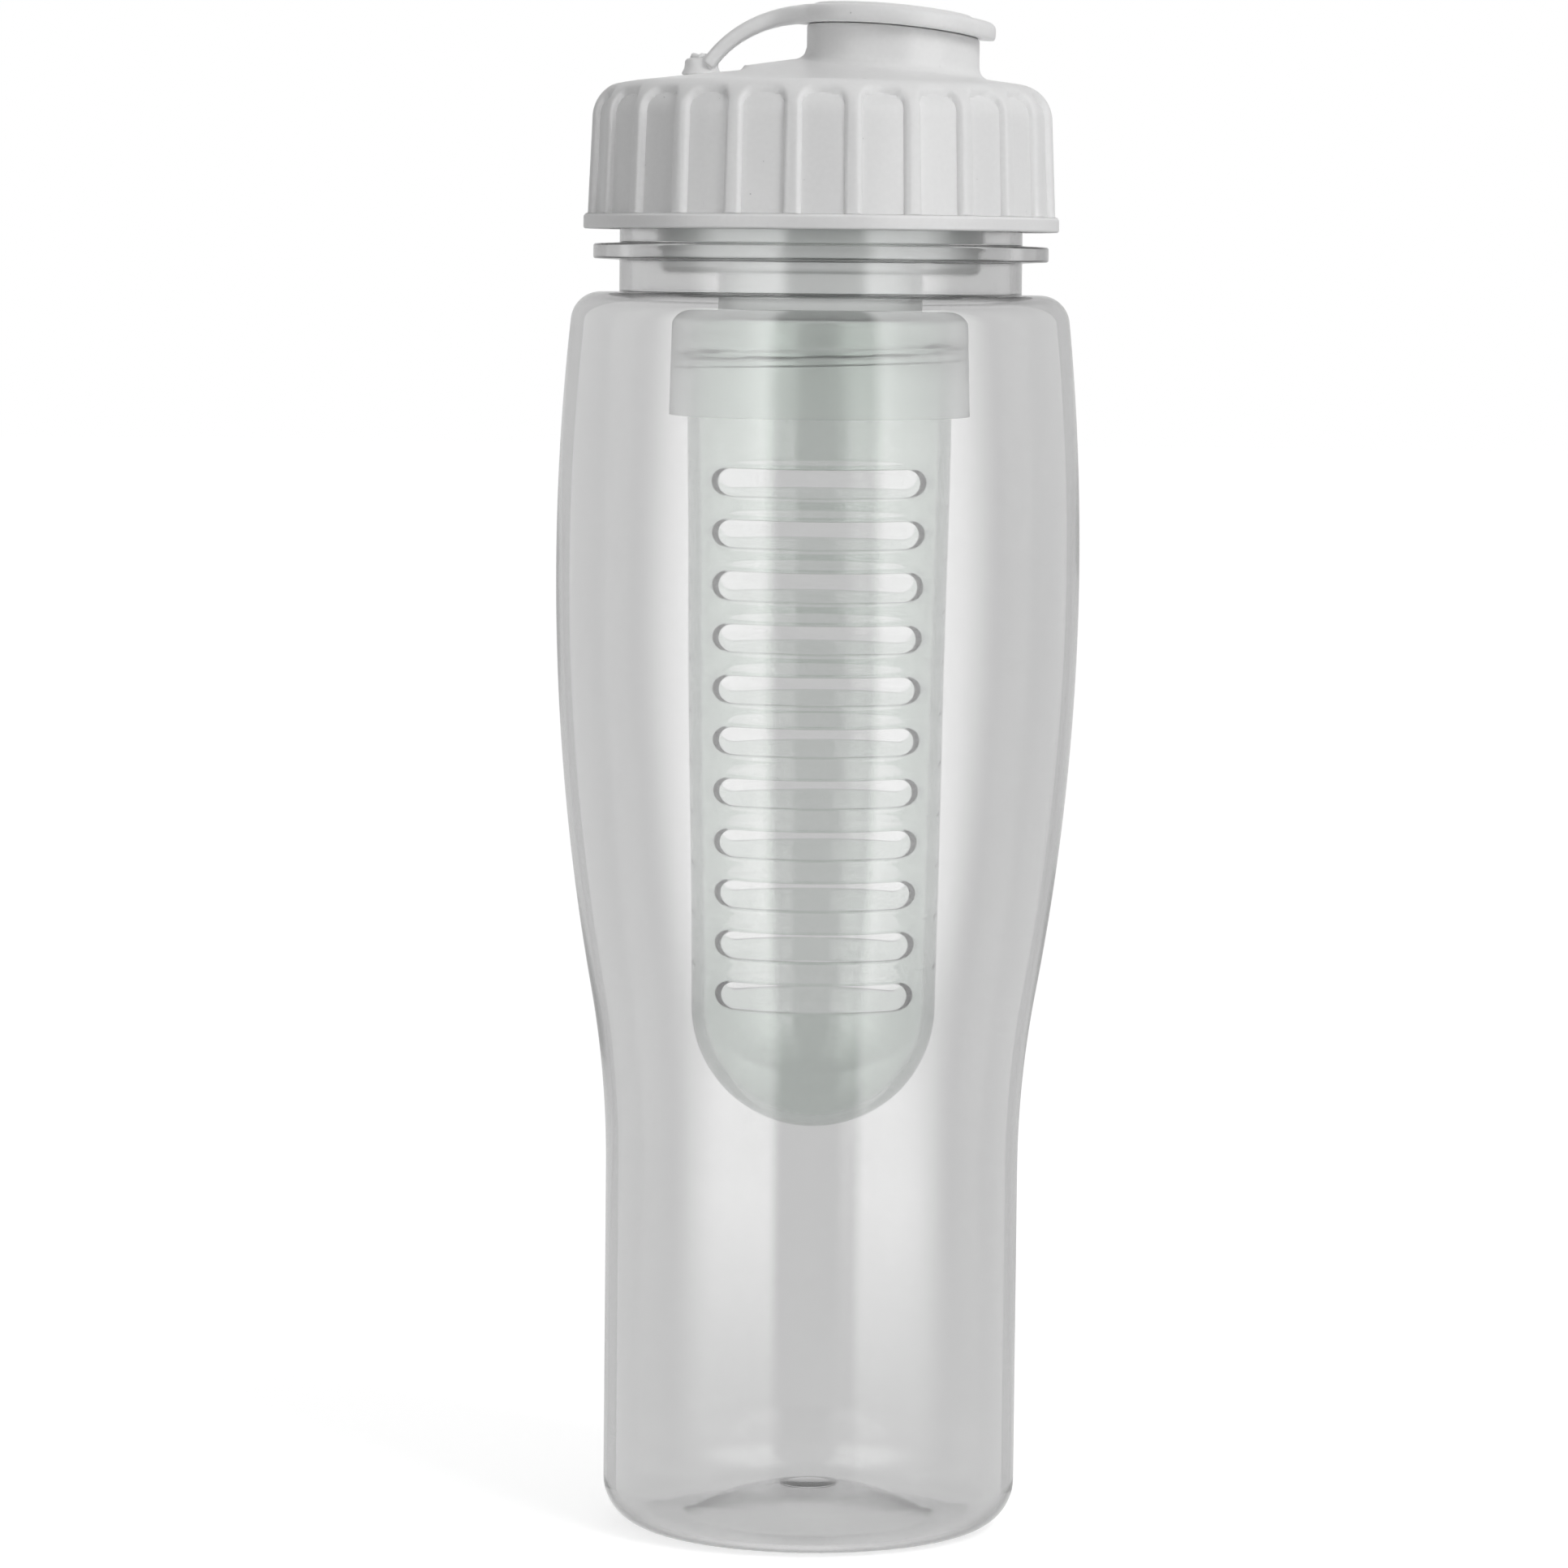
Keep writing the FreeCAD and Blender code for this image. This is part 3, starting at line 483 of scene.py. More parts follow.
def window_depth(rows):
    """How deep the windows are cut at each point of the skirt."""
    step = 2 * math.pi / WINDOW_COUNT
    turn = np.arctan2(rows[..., 1], rows[..., 0])
    off = (turn + step / 2) % step - step / 2
    across = np.abs(np.hypot(rows[..., 0], rows[..., 1]) * np.sin(off))
    qx = across - WINDOW_HALF + WINDOW_CORNER
    qz = rows[..., 2] - WINDOW_TOP + WINDOW_CORNER
    corner = np.hypot(np.maximum(qx, 0), np.maximum(qz, 0))
    outside = corner + np.minimum(np.maximum(qx, qz), 0) - WINDOW_CORNER
    climb = np.clip(outside / WINDOW_EDGE, 0, 1)
    return WINDOW_DEPTH * (1 - np.sqrt(1 - (1 - climb) ** 2))


def landing(x):
    """The height of the landing that the strap's eyelet stands on."""
    return DECK + LANDING_RISE + LANDING_SLOPE * (x - STUD_X)


def lowered(x, z):
    """A height on the deck, cut down to the landing behind its edge."""
    cut = np.minimum(z, landing(x))
    return cut + (z - cut) * smooth((x - LANDING_EDGE) / LANDING_BLUNT + 0.5)


def deck_height(x, y):
    """The top of the deck, a shallow cone with the landing cut in and a fillet round the spout."""
    edge = DECK - LID_ROUND * (1 - math.cos(DECK_SLOPE))
    edge_radius = RIB_TOP_RADIUS - LID_ROUND + LID_ROUND * math.sin(DECK_SLOPE)
    height = lowered(x, edge + (edge_radius - np.hypot(x, y)) * math.tan(DECK_SLOPE))
    away = np.clip(np.hypot(x - SPOUT_X, y) - SPOUT_RADIUS, 0, SPOUT_FILLET)
    return height + SPOUT_FILLET - np.sqrt(SPOUT_FILLET ** 2 - (SPOUT_FILLET - away) ** 2)


def rim_height(x):
    """The spout's rim, which follows the arch of the flip cap."""
    return RIM - CAP_CURVE + np.sqrt((CAP_CURVE - CAP_GAP) ** 2 - (x - SPOUT_NEAR) ** 2)


def lid_skirt(turn):
    """The lid's outside from its mouth to the deck's edge, with the windows and the landing cut in."""
    top_centre = (RIB_TOP_RADIUS - LID_ROUND, DECK - LID_ROUND)
    skirt = np.concatenate((
        rounded([(LID_MOUTH, LID_BOTTOM, 0), (FLANGE_RADIUS, LID_BOTTOM, FLANGE_LOW_ROUND),
                 (FLANGE_RADIUS, FLANGE_TOP, FLANGE_TOP_ROUND), (RIB_LOW_RADIUS, FLANGE_TOP, RIB_ROOT_ROUND),
                 (*RIB_SILL, 0)], near=0.1)[:-1],
        run(RIB_SILL, RIB_FOOT, SILL_STEP)[:-1],
        run(RIB_FOOT, (RIB_TOP_RADIUS, top_centre[1]), RIB_STEP)[:-1],
        arc(top_centre, LID_ROUND, 0, 90 - math.degrees(DECK_SLOPE), LID_ROUND_STEPS),
    ))
    rows = turned(skirt, turn)
    along = np.gradient(skirt, axis=0)
    normal = np.column_stack((along[:, 1], -along[:, 0]))
    normal /= np.linalg.norm(normal, axis=1)[:, None]
    depth = window_depth(rows) * (skirt[:, 1:2] > WINDOW_SILL)
    rows = pushed(rows, -depth * normal[:, :1])
    rows[..., 2] -= depth * normal[:, 1:2]
    rows[..., 2] = lowered(rows[..., 0], rows[..., 2])
    return rows


def lid_spout(round_turn, base):
    """The spout's outside, its rounded rim and the start of its bore, standing on the deck's inner edge."""
    up = np.linspace(0, 1, SPOUT_ROWS + 1)[1:]
    over, down = np.radians([30, 60, 90]), np.radians([90, 60, 30, 0])
    middle = [(SPOUT_RADIUS + SPOUT_BORE) / 2]
    levels = np.concatenate((up, np.ones(len(over) + len(middle) + len(down))))
    drop = RIM_ROUND * (1 - np.sin(np.concatenate((0 * up, over, over[-1:], down))))
    width = np.concatenate((np.full(SPOUT_ROWS, SPOUT_RADIUS), SPOUT_RADIUS - RIM_ROUND * (1 - np.cos(over)),
                            middle, SPOUT_BORE + RIM_ROUND * (1 - np.cos(down))))
    rows = []
    for level, fall, radius in zip(levels, drop, width):
        ring = np.array([SPOUT_X, 0.0]) + radius * round_turn
        top = rim_height(ring[:, 0]) - fall
        rows.append(np.column_stack((ring, base + (top - base) * level)))
    return np.array(rows)


def lid_inside(turn):
    """The socket for the infuser, the ceiling over the gasket and the threaded bore."""
    under = UNDER_PEAK - SOCKET_INNER * math.tan(DECK_SLOPE)
    high, low = LID_THREADED
    inside = np.concatenate((
        rounded([(SOCKET_INNER, under, 0), (SOCKET_INNER, SOCKET_LEDGE, SOCKET_LEDGE_ROUND),
                 (SOCKET_BORE, SOCKET_LEDGE, SOCKET_LEDGE_ROUND),
                 (SOCKET_BORE, SOCKET_BOTTOM, LID_INNER_ROUND),
                 (SOCKET_OUTER, SOCKET_BOTTOM, LID_INNER_ROUND),
                 (SOCKET_OUTER, LID_CEILING, LID_INNER_ROUND),
                 (LID_BORE, LID_CEILING, LID_INNER_ROUND), (LID_BORE, high, 0)], steps=3)[1:-1],
        run((LID_BORE, high), (LID_BORE, low), LID_THREAD_STEP),
        rounded([(LID_BORE, low, 0), (LID_BORE, LID_BOTTOM, LID_INNER_ROUND),
                 (LID_MOUTH, LID_BOTTOM, 0)])[1:-1],
    ))
    rows = turned(inside, turn)
    return pushed(rows, ridge(rows, LID_THREAD, NECK_LEAD, NECK_TURNS, LID_THREAD_LOW))


def screw_lid():
    """The lid as one skin, with its skirt, deck, spout, bore, socket and threaded inside, and its stud."""
    turn = lid_turns()
    round_turn = np.stack((np.cos(turn), np.sin(turn)), axis=-1)
    middle = np.array([SPOUT_X, 0.0])
    skirt = lid_skirt(turn)
    edge = skirt[-1, :, :2]
    share = np.concatenate((np.linspace(*DECK_SHARES), np.linspace(*FILLET_SHARES)))[1:, None, None]
    plan = edge + (middle + SPOUT_RADIUS * round_turn - edge) * share
    deck = np.dstack((plan, deck_height(plan[..., 0], plan[..., 1])))
    spout = lid_spout(round_turn, deck[-1, :, 2])
    bore = middle + SPOUT_BORE * round_turn
    under_plan = bore + (SOCKET_INNER * round_turn - bore) * np.linspace(0, 1, UNDER_ROWS)[:, None, None]
    under_height = UNDER_PEAK - np.hypot(under_plan[..., 0], under_plan[..., 1]) * math.tan(DECK_SLOPE)
    under = np.dstack((under_plan, under_height))
    skin = np.concatenate((skirt, deck, spout, under, lid_inside(turn)))
    return piece("lid", [skin, stud_head()], wrap_rows=(0,), body="lid")


def on_landing(profile):
    """A profile of (radius, height over the landing, round) corners at its place on the stud's axis."""
    foot = landing(STUD_X)
    return [(radius, foot + height, corner) for radius, height, corner in profile]


def stud_head():
    """The stud's end, melted over the strap's eyelet into a rough button."""
    turn = columns(STUD_COLUMNS)
    rows = turned(rounded(on_landing(STUD), steps=5, near=0.12), turn)
    melt = smooth((rows[..., 2] - landing(STUD_X) - STUD_MELT) / STUD_MELT_FADE)
    away = np.hypot(rows[..., 0], rows[..., 1])
    rows[..., 2] += melt * away / STUD_TOP_REACH * waves(STUD_TOP_WAVES, turn) - STUD_SINK * melt
    rows = pushed(rows, waves(STUD_SIDE_WAVES, turn) * melt * np.minimum(away, 1))
    return rows + np.array([STUD_X, 0, 0])


def arch(x):
    """How far the flip cap falls away from the strap's crown at a place along it."""
    return np.sqrt(CAP_CURVE ** 2 - (x - SPOUT_NEAR) ** 2) - CAP_CURVE


def cap_disc():
    """The disc of the flip cap with its plateau and the ring plug under it."""
    side = CAP_RADIUS - CAP_STEP
    plateau = CAP_TOP + PLATEAU_RISE
    tip = RIM - PLUG_DEPTH
    inner = PLUG_RADIUS - PLUG_WALL - PLUG_LEANS[1]
    profile = rounded([
        (0, plateau, 0), (PLATEAU_RADIUS, plateau, PLATEAU_ROUNDS[0]),
        (PLATEAU_RADIUS + PLATEAU_SLANT, CAP_TOP, PLATEAU_ROUNDS[1]), (CAP_RADIUS, CAP_TOP, CAP_TOP_ROUND),
        (CAP_RADIUS, RIM + CAP_STEP_HEIGHTS[1], CAP_STEP_ROUNDS[1]),
        (side, RIM + CAP_STEP_HEIGHTS[0], CAP_STEP_ROUNDS[0]), (side, RIM, CAP_LOW_ROUND),
        (PLUG_RADIUS, RIM, PLUG_ROOT_ROUNDS[0]), (PLUG_RADIUS - PLUG_LEANS[0], tip, PLUG_TIP_ROUND),
        (inner, tip, PLUG_TIP_ROUND), (inner, RIM, PLUG_ROOT_ROUNDS[1]), (0, RIM, 0),
    ], steps=5)
    rows = turned(profile, columns(CAP_COLUMNS)) + np.array([SPOUT_X, 0, 0])
    rows[..., 2] += arch(rows[..., 0])
    return rows


def strap_band():
    """The arched strap, which widens into the disc and thins towards its eyelet."""
    turn = np.linspace(STRAP_START_ANGLE, STRAP_END_ANGLE, STRAP_ROWS)
    taper = smooth((turn - STRAP_TAPER_FROM) / (STRAP_END_ANGLE - STRAP_TAPER_FROM))
    flare = smooth((STRAP_FLARE_ANGLES[0] - turn) / STRAP_FLARE_ANGLES[1])
    lift = STRAP_LIFT * smooth((turn - STRAP_LIFT_ANGLES[0]) / STRAP_LIFT_ANGLES[1])
    thick = CAP_THICKNESS - STRAP_THINNING * taper
    half = STRAP_HALF - STRAP_NARROWING * taper + STRAP_FLARE * flare
    loop = columns(STRAP_COLUMNS)
    wide = np.sign(np.cos(loop)) * np.abs(np.cos(loop)) ** STRAP_SQUARENESS[0]
    tall = np.sign(np.sin(loop)) * np.abs(np.sin(loop)) ** STRAP_SQUARENESS[1]
    rows = []
    for angle, up, t, h in zip(np.radians(turn), lift, thick, half):
        over = t * (1 + tall) / 2
        if angle < math.pi / 2:
            x = SPOUT_NEAR + STRAP_CURVE * math.tan(math.pi / 2 - angle) + 0 * loop
            z = RIM + over + arch(x)
        else:
            x = SPOUT_NEAR + (STRAP_CURVE + up + over) * math.cos(angle)
            z = RIM - STRAP_CURVE + (STRAP_CURVE + up + over) * math.sin(angle)
        rows.append(np.column_stack((x, h * wide, z)))
    ends = [np.repeat(rows[end].mean(axis=0)[None], len(loop), axis=0) for end in (0, -1)]
    return np.array([ends[0]] + rows + [ends[1]])


def strap_eyelet():
    """The eyelet that the stud holds: a boss with a spread foot."""
    boss = rounded(on_landing(EYELET), steps=5)
    return turned(boss, columns(EYELET_COLUMNS)) + np.array([STUD_X, 0, 0])


def baked(made):
    """An object's mesh with its modifiers worked in."""
    graph = bpy.context.evaluated_depsgraph_get()
    mesh = bpy.data.meshes.new_from_object(made.evaluated_get(graph))
    made.modifiers.clear()
    made.data = mesh
    return made


def flip_cap():
    """One soft moulding of disc, plug, strap and eyelet, whose strap bends at its hinge."""
    made = piece("flip_cap_moulding", [cap_disc(), strap_band(), strap_eyelet()])
    fuse = made.modifiers.new("fuse", "REMESH")
    fuse.mode = "VOXEL"
    fuse.voxel_size = CAP_VOXEL * MM
    soften = made.modifiers.new("soften", "SMOOTH")
    soften.factor, soften.iterations = CAP_SOFTENING
    baked(made)
    made.data.shade_smooth()
    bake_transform(made)
    return made


def basket_radius(z, wall=0.0):
    """The radius of the basket's skin at a height, at a depth under its outside."""
    share = (BASKET_COLLAR - z) / (BASKET_COLLAR - BASKET_EQUATOR)
    taper = BASKET_RADIUS + (BASKET_TIP_RADIUS - BASKET_RADIUS) * np.clip(share, 0, 1)
    tip = (BASKET_TIP_RADIUS - wall) ** 2 - np.minimum(z - BASKET_EQUATOR, 0) ** 2
    return np.where(z < BASKET_EQUATOR, np.sqrt(np.maximum(tip, 0)), taper - wall)


def basket_turns():
    """Angles from the front, over one half of the basket, closer together across the slots."""
    w = np.linspace(-1, 1, BASKET_COLUMNS)
    return np.radians(90 * ((1 - BASKET_CROWDING) * w + BASKET_CROWDING * w ** 3))


def slot_loop(bend, radius, turns):
    """Points round a slot of rounded ends, matched in number to a cell's top, right, bottom and left."""
    quarter = math.pi / 4
    length = 2 * bend + 2 * quarter * radius
    s = np.linspace(0, length, turns + 1)
    start = np.clip((quarter * radius - s) / radius, 0, quarter)
    finish = np.clip((s - length + quarter * radius) / radius, 0, quarter)
    x = np.clip(s - quarter * radius, 0, 2 * bend) - bend - radius * np.sin(start) + radius * np.sin(finish)
    z = radius * np.cos(start + finish)
    swing = np.linspace(quarter, -quarter, SLOT_SIDES + 1)
    right = np.column_stack((bend + radius * np.cos(swing), radius * np.sin(swing)))
    top = np.column_stack((x, z))
    return np.concatenate((top[:-1], right[:-1], -top[:-1], -right[:-1]))


def slot_cell(middle, facing):
    """The stretch of wall round one slot, from the outside through the slot's rounded edge to the inside."""
    bend = float(basket_radius(middle)) - SLOT_INSET - SLOT_HALF
    low, high = middle - SLOT_PITCH / 2, middle + SLOT_PITCH / 2
    across = basket_turns()
    turns = len(across) - 1
    side = np.full(SLOT_SIDES, math.pi / 2)
    up = np.linspace(high, low, SLOT_SIDES + 1)
    rim_turn = np.concatenate((across[:-1], side, across[:0:-1], -side))
    rim_z = np.concatenate((np.full(turns, high), up[:-1], np.full(turns, low), up[:0:-1]))

    def ring(offset, wall, share):
        """Points at an offset from the slot's edge and a depth in the wall, drawn out to the cell's rim."""
        loop = slot_loop(bend, SLOT_HALF + offset, turns)
        z = middle + loop[:, 1]
        turn = np.arcsin(np.clip(loop[:, 0] / basket_radius(z, wall), -1, 1))
        turn = turn + (rim_turn - turn) * share
        z = z + (rim_z - z) * share
        radius = basket_radius(z, wall)
        return np.column_stack((radius * np.sin(turn), -facing * radius * np.cos(turn), z))

    bow = np.radians(np.linspace(0, 90, SLOT_EDGE_STEPS + 1))
    spread, sink = SLOT_ROUND * (1 - np.cos(bow)), SLOT_ROUND * (1 - np.sin(bow))
    rings = [ring(SLOT_LAND, 0, share) for share in SLOT_SHARES]
    rings += [ring(offset, wall, 0) for offset, wall in zip(spread[::-1], sink[::-1])]
    rings += [ring(offset, BASKET_WALL - wall, 0) for offset, wall in zip(spread, sink)]
    rings += [ring(SLOT_LAND, BASKET_WALL, share) for share in SLOT_SHARES[::-1]]
    return np.array(rings)


def infuser_basket():
    """The clear fruit tube with its threaded collar, round bottom and two ladders of slots."""
    across = basket_turns()
    turn = np.concatenate((across[:-1] - math.pi / 2, across[:-1] + math.pi / 2))
    ladder_top = SLOT_TOP + SLOT_PITCH / 2
    ladder_low = SLOT_TOP - (SLOT_COUNT - 0.5) * SLOT_PITCH
    collar = np.concatenate((heights(ladder_top, BASKET_THREADED, COLLAR_STEP)[:-1],
                             heights(BASKET_THREADED, BASKET_MOUTH[0], BASKET_THREAD_STEP)))
    bore = BASKET_RADIUS - BASKET_WALL
    mouth = rounded([(BASKET_RADIUS, BASKET_MOUTH[0], 0), (BASKET_RADIUS, BASKET_RIM, BASKET_MOUTH_ROUND),
                     (bore, BASKET_RIM, BASKET_MOUTH_ROUND), (bore, BASKET_MOUTH[1], 0)],
                    steps=4, near=0.1)[1:-1]
    inner = heights(BASKET_MOUTH[1], ladder_top, BASKET_INNER_STEP)
    upper = np.concatenate((np.column_stack((basket_radius(collar), collar)), mouth,
                            np.column_stack((basket_radius(inner, BASKET_WALL), inner))))
    upper = turned(upper, turn)
    outside = np.hypot(upper[..., 0], upper[..., 1]) > BASKET_OUTSIDE
    upper = pushed(upper, outside * ridge(upper, BASKET_THREAD, BASKET_LEAD, BASKET_TURNS, BASKET_THREAD_LOW))
    patches = [upper]
    for wall in (0, BASKET_WALL):
        radius = BASKET_TIP_RADIUS - wall
        start = math.degrees(math.asin((ladder_low - BASKET_EQUATOR) / radius))
        patches.append(turned(arc((0, BASKET_EQUATOR), radius, start, -90, BASKET_TIP_STEPS), turn))
    for place in range(SLOT_COUNT):
        for facing in (1, -1):
            patches.append(slot_cell(SLOT_TOP - place * SLOT_PITCH, facing))
    return piece("basket", patches, body="basket")


def ramp_up(tree, value, start, end):
    """A soft ramp from 0 at one value to 1 at another."""
    node = tree.nodes.new("ShaderNodeMapRange")
    node.interpolation_type = "SMOOTHSTEP"
    node.inputs["From Min"].default_value = start
    node.inputs["From Max"].default_value = end
    tree.links.new(value, node.inputs["Value"])
    return node.outputs["Result"]


def joined(tree, operation, one, other):
    """A sum, product or maximum of two values."""
    node = tree.nodes.new("ShaderNodeMath")
    node.operation = operation
    tree.links.new(one, node.inputs[0])
    tree.links.new(other, node.inputs[1])
    return node.outputs["Value"]


def scaled(tree, value, by, plus):
    """A value times one number plus another."""
    node = tree.nodes.new("ShaderNodeMath")
    node.operation = "MULTIPLY_ADD"
    tree.links.new(value, node.inputs[0])
    node.inputs[1].default_value = by
    node.inputs[2].default_value = plus
    return node.outputs["Value"]


def parts_of(tree, node_type, output):
    """The parts of a place: X, Y and Z of a coordinate node's output."""
    place = tree.nodes.new(node_type)
    split = tree.nodes.new("ShaderNodeSeparateXYZ")
    tree.links.new(place.outputs[output], split.inputs["Vector"])
    return split.outputs


def material(name, **sockets):
    """A node material with one Principled shader, whose even values sit on its own sockets."""
    made = bpy.data.materials.new(name)
    made.use_nodes = True
    shader = made.node_tree.nodes["Principled BSDF"]
    for socket, value in sockets.items():
        shader.inputs[socket.replace("_", " ")].default_value = value
    return made


def noise(made, scale, detail, stretch=(1, 1, 1)):
    """A noise texture in the piece's own place, with a scale in features per metre."""
    nodes, links = made.node_tree.nodes, made.node_tree.links
    place = nodes.new("ShaderNodeTexCoord")
    mapping = nodes.new("ShaderNodeMapping")
    mapping.inputs["Scale"].default_value = stretch
    texture = nodes.new("ShaderNodeTexNoise")
    texture.inputs["Scale"].default_value = scale
    texture.inputs["Detail"].default_value = detail
    links.new(place.outputs["Object"], mapping.inputs["Vector"])
    links.new(mapping.outputs["Vector"], texture.inputs["Vector"])
    return texture.outputs["Fac"]


def tinted(made, scale, stops, detail=3.0, stretch=(1, 1, 1)):
    """Lets the colour drift over the surface between (place, colour) stops."""
    links = made.node_tree.links
    ramp = made.node_tree.nodes.new("ShaderNodeValToRGB")
    for extra in stops[2:]:
        ramp.color_ramp.elements.new(extra[0])
    for element, (place, colour) in zip(ramp.color_ramp.elements, sorted(stops)):
        element.position = place
        element.color = (*colour, 1)
    links.new(noise(made, scale, detail, stretch), ramp.inputs["Fac"])
    links.new(ramp.outputs["Color"], made.node_tree.nodes["Principled BSDF"].inputs["Base Color"])


def mottled(made, scale, dark, light, stretch=(1, 1, 1)):
    """Lets the colour drift between two tints."""
    tinted(made, scale, [(MOTTLE[0], dark), (MOTTLE[1], light)], stretch=stretch)


def worn(made, scale, low, high, detail=4.0):
    """Lets the roughness vary over the surface between two values."""
    links = made.node_tree.links
    spread = made.node_tree.nodes.new("ShaderNodeMapRange")
    spread.inputs["From Min"].default_value = WEAR[0]
    spread.inputs["From Max"].default_value = WEAR[1]
    spread.inputs["To Min"].default_value = low
    spread.inputs["To Max"].default_value = high
    links.new(noise(made, scale, detail), spread.inputs["Value"])
    links.new(spread.outputs["Result"], made.node_tree.nodes["Principled BSDF"].inputs["Roughness"])


def scuffed(made, more, *zones):
    """Adds roughness by height, from nothing at the first height of each zone to all of it at the second."""
    tree = made.node_tree
    rough = tree.nodes["Principled BSDF"].inputs["Roughness"]
    up = parts_of(tree, "ShaderNodeTexCoord", "Object")["Z"]
    for start, end in zones:
        added = scaled(tree, ramp_up(tree, up, start * MM, end * MM), more, 0.0)
        tree.links.new(joined(tree, "ADD", rough.links[0].from_socket, added), rough)


def grained(made, scale, height, detail):
    """Gives the surface a fine relief of a height in millimetres."""
    links = made.node_tree.links
    bump = made.node_tree.nodes.new("ShaderNodeBump")
    bump.inputs["Distance"].default_value = height * MM
    links.new(noise(made, scale, detail), bump.inputs["Height"])
    links.new(bump.outputs["Normal"], made.node_tree.nodes["Principled BSDF"].inputs["Normal"])


def absorbing(made, colour, density):
    """Lets light fade on its way through the plastic, more along the edges than straight through a wall."""
    fade = made.node_tree.nodes.new("ShaderNodeVolumeAbsorption")
    fade.inputs["Color"].default_value = (*colour, 1)
    fade.inputs["Density"].default_value = density
    made.node_tree.links.new(fade.outputs["Volume"], made.node_tree.nodes["Material Output"].inputs["Volume"])


def even(level):
    """A grey colour."""
    return (level, level, level)


def clear_plastic(name, dark, light, ior, rough):
    """A clear plastic with faint flow streaks."""
    made = material(name, Transmission_Weight=1.0, IOR=ior)
    mottled(made, FLOW_SCALE, dark, light, stretch=FLOW_STRETCH)
    worn(made, RUB_SCALE, *rough)
    return made


def white_plastic(name, speck, dark, light):
    """A satin white plastic with a fine moulded grain and a few dust specks."""
    made = material(name, IOR=1.49, Subsurface_Weight=1.0, Subsurface_Radius=even(1.0),
                    Subsurface_Scale=WHITE_SCATTER * MM)
    tinted(made, SPECK_SCALE, list(zip(SPECKS, (even(speck), even(dark), even(light)))), detail=0.5)
    worn(made, SATIN_SCALE, *SATIN, detail=2.0)
    grained(made, GRAIN_SCALE, GRAIN_HEIGHT, detail=2.0)
    return made


def dress(made, slot, look, *nodes):
    """Gives a piece its finish and hides the nodes that it stands for."""
    made.data.materials.clear()
    made.data.materials.append(look)
    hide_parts(*nodes)


def finish_node(look, node):
    """Gives a node that stays its finish."""
    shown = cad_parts[node]
    shown.data.materials.clear()
    shown.data.materials.append(look)


# Finishes: parts of a noise's range, heights and lengths in millimetres. Noise scales are features per metre.
MOTTLE = (0.35, 0.65)
WEAR = (0.35, 0.7)
SPECKS = (0.15, 0.17, 0.75)
SPECK_SCALE = 1500
FLOW_SCALE = 60
FLOW_STRETCH = (1, 1, 0.3)
RUB_SCALE = 90
SATIN = (0.32, 0.38)
SATIN_SCALE = 400
GRAIN_SCALE = 2600
GRAIN_HEIGHT = 0.002
WHITE_SCATTER = 0.35
SCUFF = 0.1
NECK_SCUFF = (182.0, 186.0)
BASE_SCUFF = (9.0, 3.0)

clear_bottle = clear_plastic("clear_bottle", dark=even(0.725), light=even(0.74), ior=1.5, rough=(0.0, 0.03))
scuffed(clear_bottle, SCUFF, NECK_SCUFF, BASE_SCUFF)
absorbing(clear_bottle, colour=even(0.5), density=30)
clear_basket = clear_plastic("clear_basket", dark=(0.903, 0.924, 0.908), light=(0.915, 0.932, 0.917),
                             ior=1.38, rough=(0.0, 0.02))
absorbing(clear_basket, colour=(0.5, 0.57, 0.525), density=110)
frosted = material("frosted_head", Transmission_Weight=1.0, IOR=1.13)
mottled(frosted, scale=120, dark=(0.98, 0.992, 0.985), light=(0.99, 1.0, 0.994))
worn(frosted, scale=300, low=0.4, high=0.46)
silicone = material("seal", Transmission_Weight=1.0, IOR=1.13)
mottled(silicone, scale=150, dark=(0.98, 0.992, 0.988), light=(0.985, 0.998, 0.992))
worn(silicone, scale=400, low=0.32, high=0.38)
foam = material("gasket", IOR=1.45)
mottled(foam, scale=700, dark=(0.78, 0.79, 0.78), light=(0.84, 0.85, 0.84))
worn(foam, scale=900, low=0.6, high=0.8)
white_lid = white_plastic("white_lid", speck=0.6, dark=0.845, light=0.865)
white_cap = white_plastic("white_cap", speck=0.62, dark=0.855, light=0.875)

dress(bottle_body(), "clear_bottle", clear_bottle, "bottle_body")
dress(screw_lid(), "white_lid", white_lid, "screw_lid")
dress(flip_cap(), "white_cap", white_cap, "strap_anchor", "flip_cap")
dress(infuser_basket(), "clear_basket", clear_basket, "infuser_basket")
finish_node(frosted, "infuser_head")
finish_node(silicone, "infuser_seal")
finish_node(foam, "lid_gasket")


def white_where_seen(tree, seen, other):
    """Mixes two shaders: camera, reflections and clear plastic see the first, and the second gives light."""
    path = tree.nodes.new("ShaderNodeLightPath").outputs
    mix = tree.nodes.new("ShaderNodeMixShader")
    direct = joined(tree, "MAXIMUM", path["Is Camera Ray"], path["Is Glossy Ray"])
    tree.links.new(joined(tree, "MAXIMUM", direct, path["Is Transmission Ray"]), mix.inputs["Fac"])
    tree.links.new(other, mix.inputs[1])
    tree.links.new(seen, mix.inputs[2])
    return mix.outputs["Shader"]


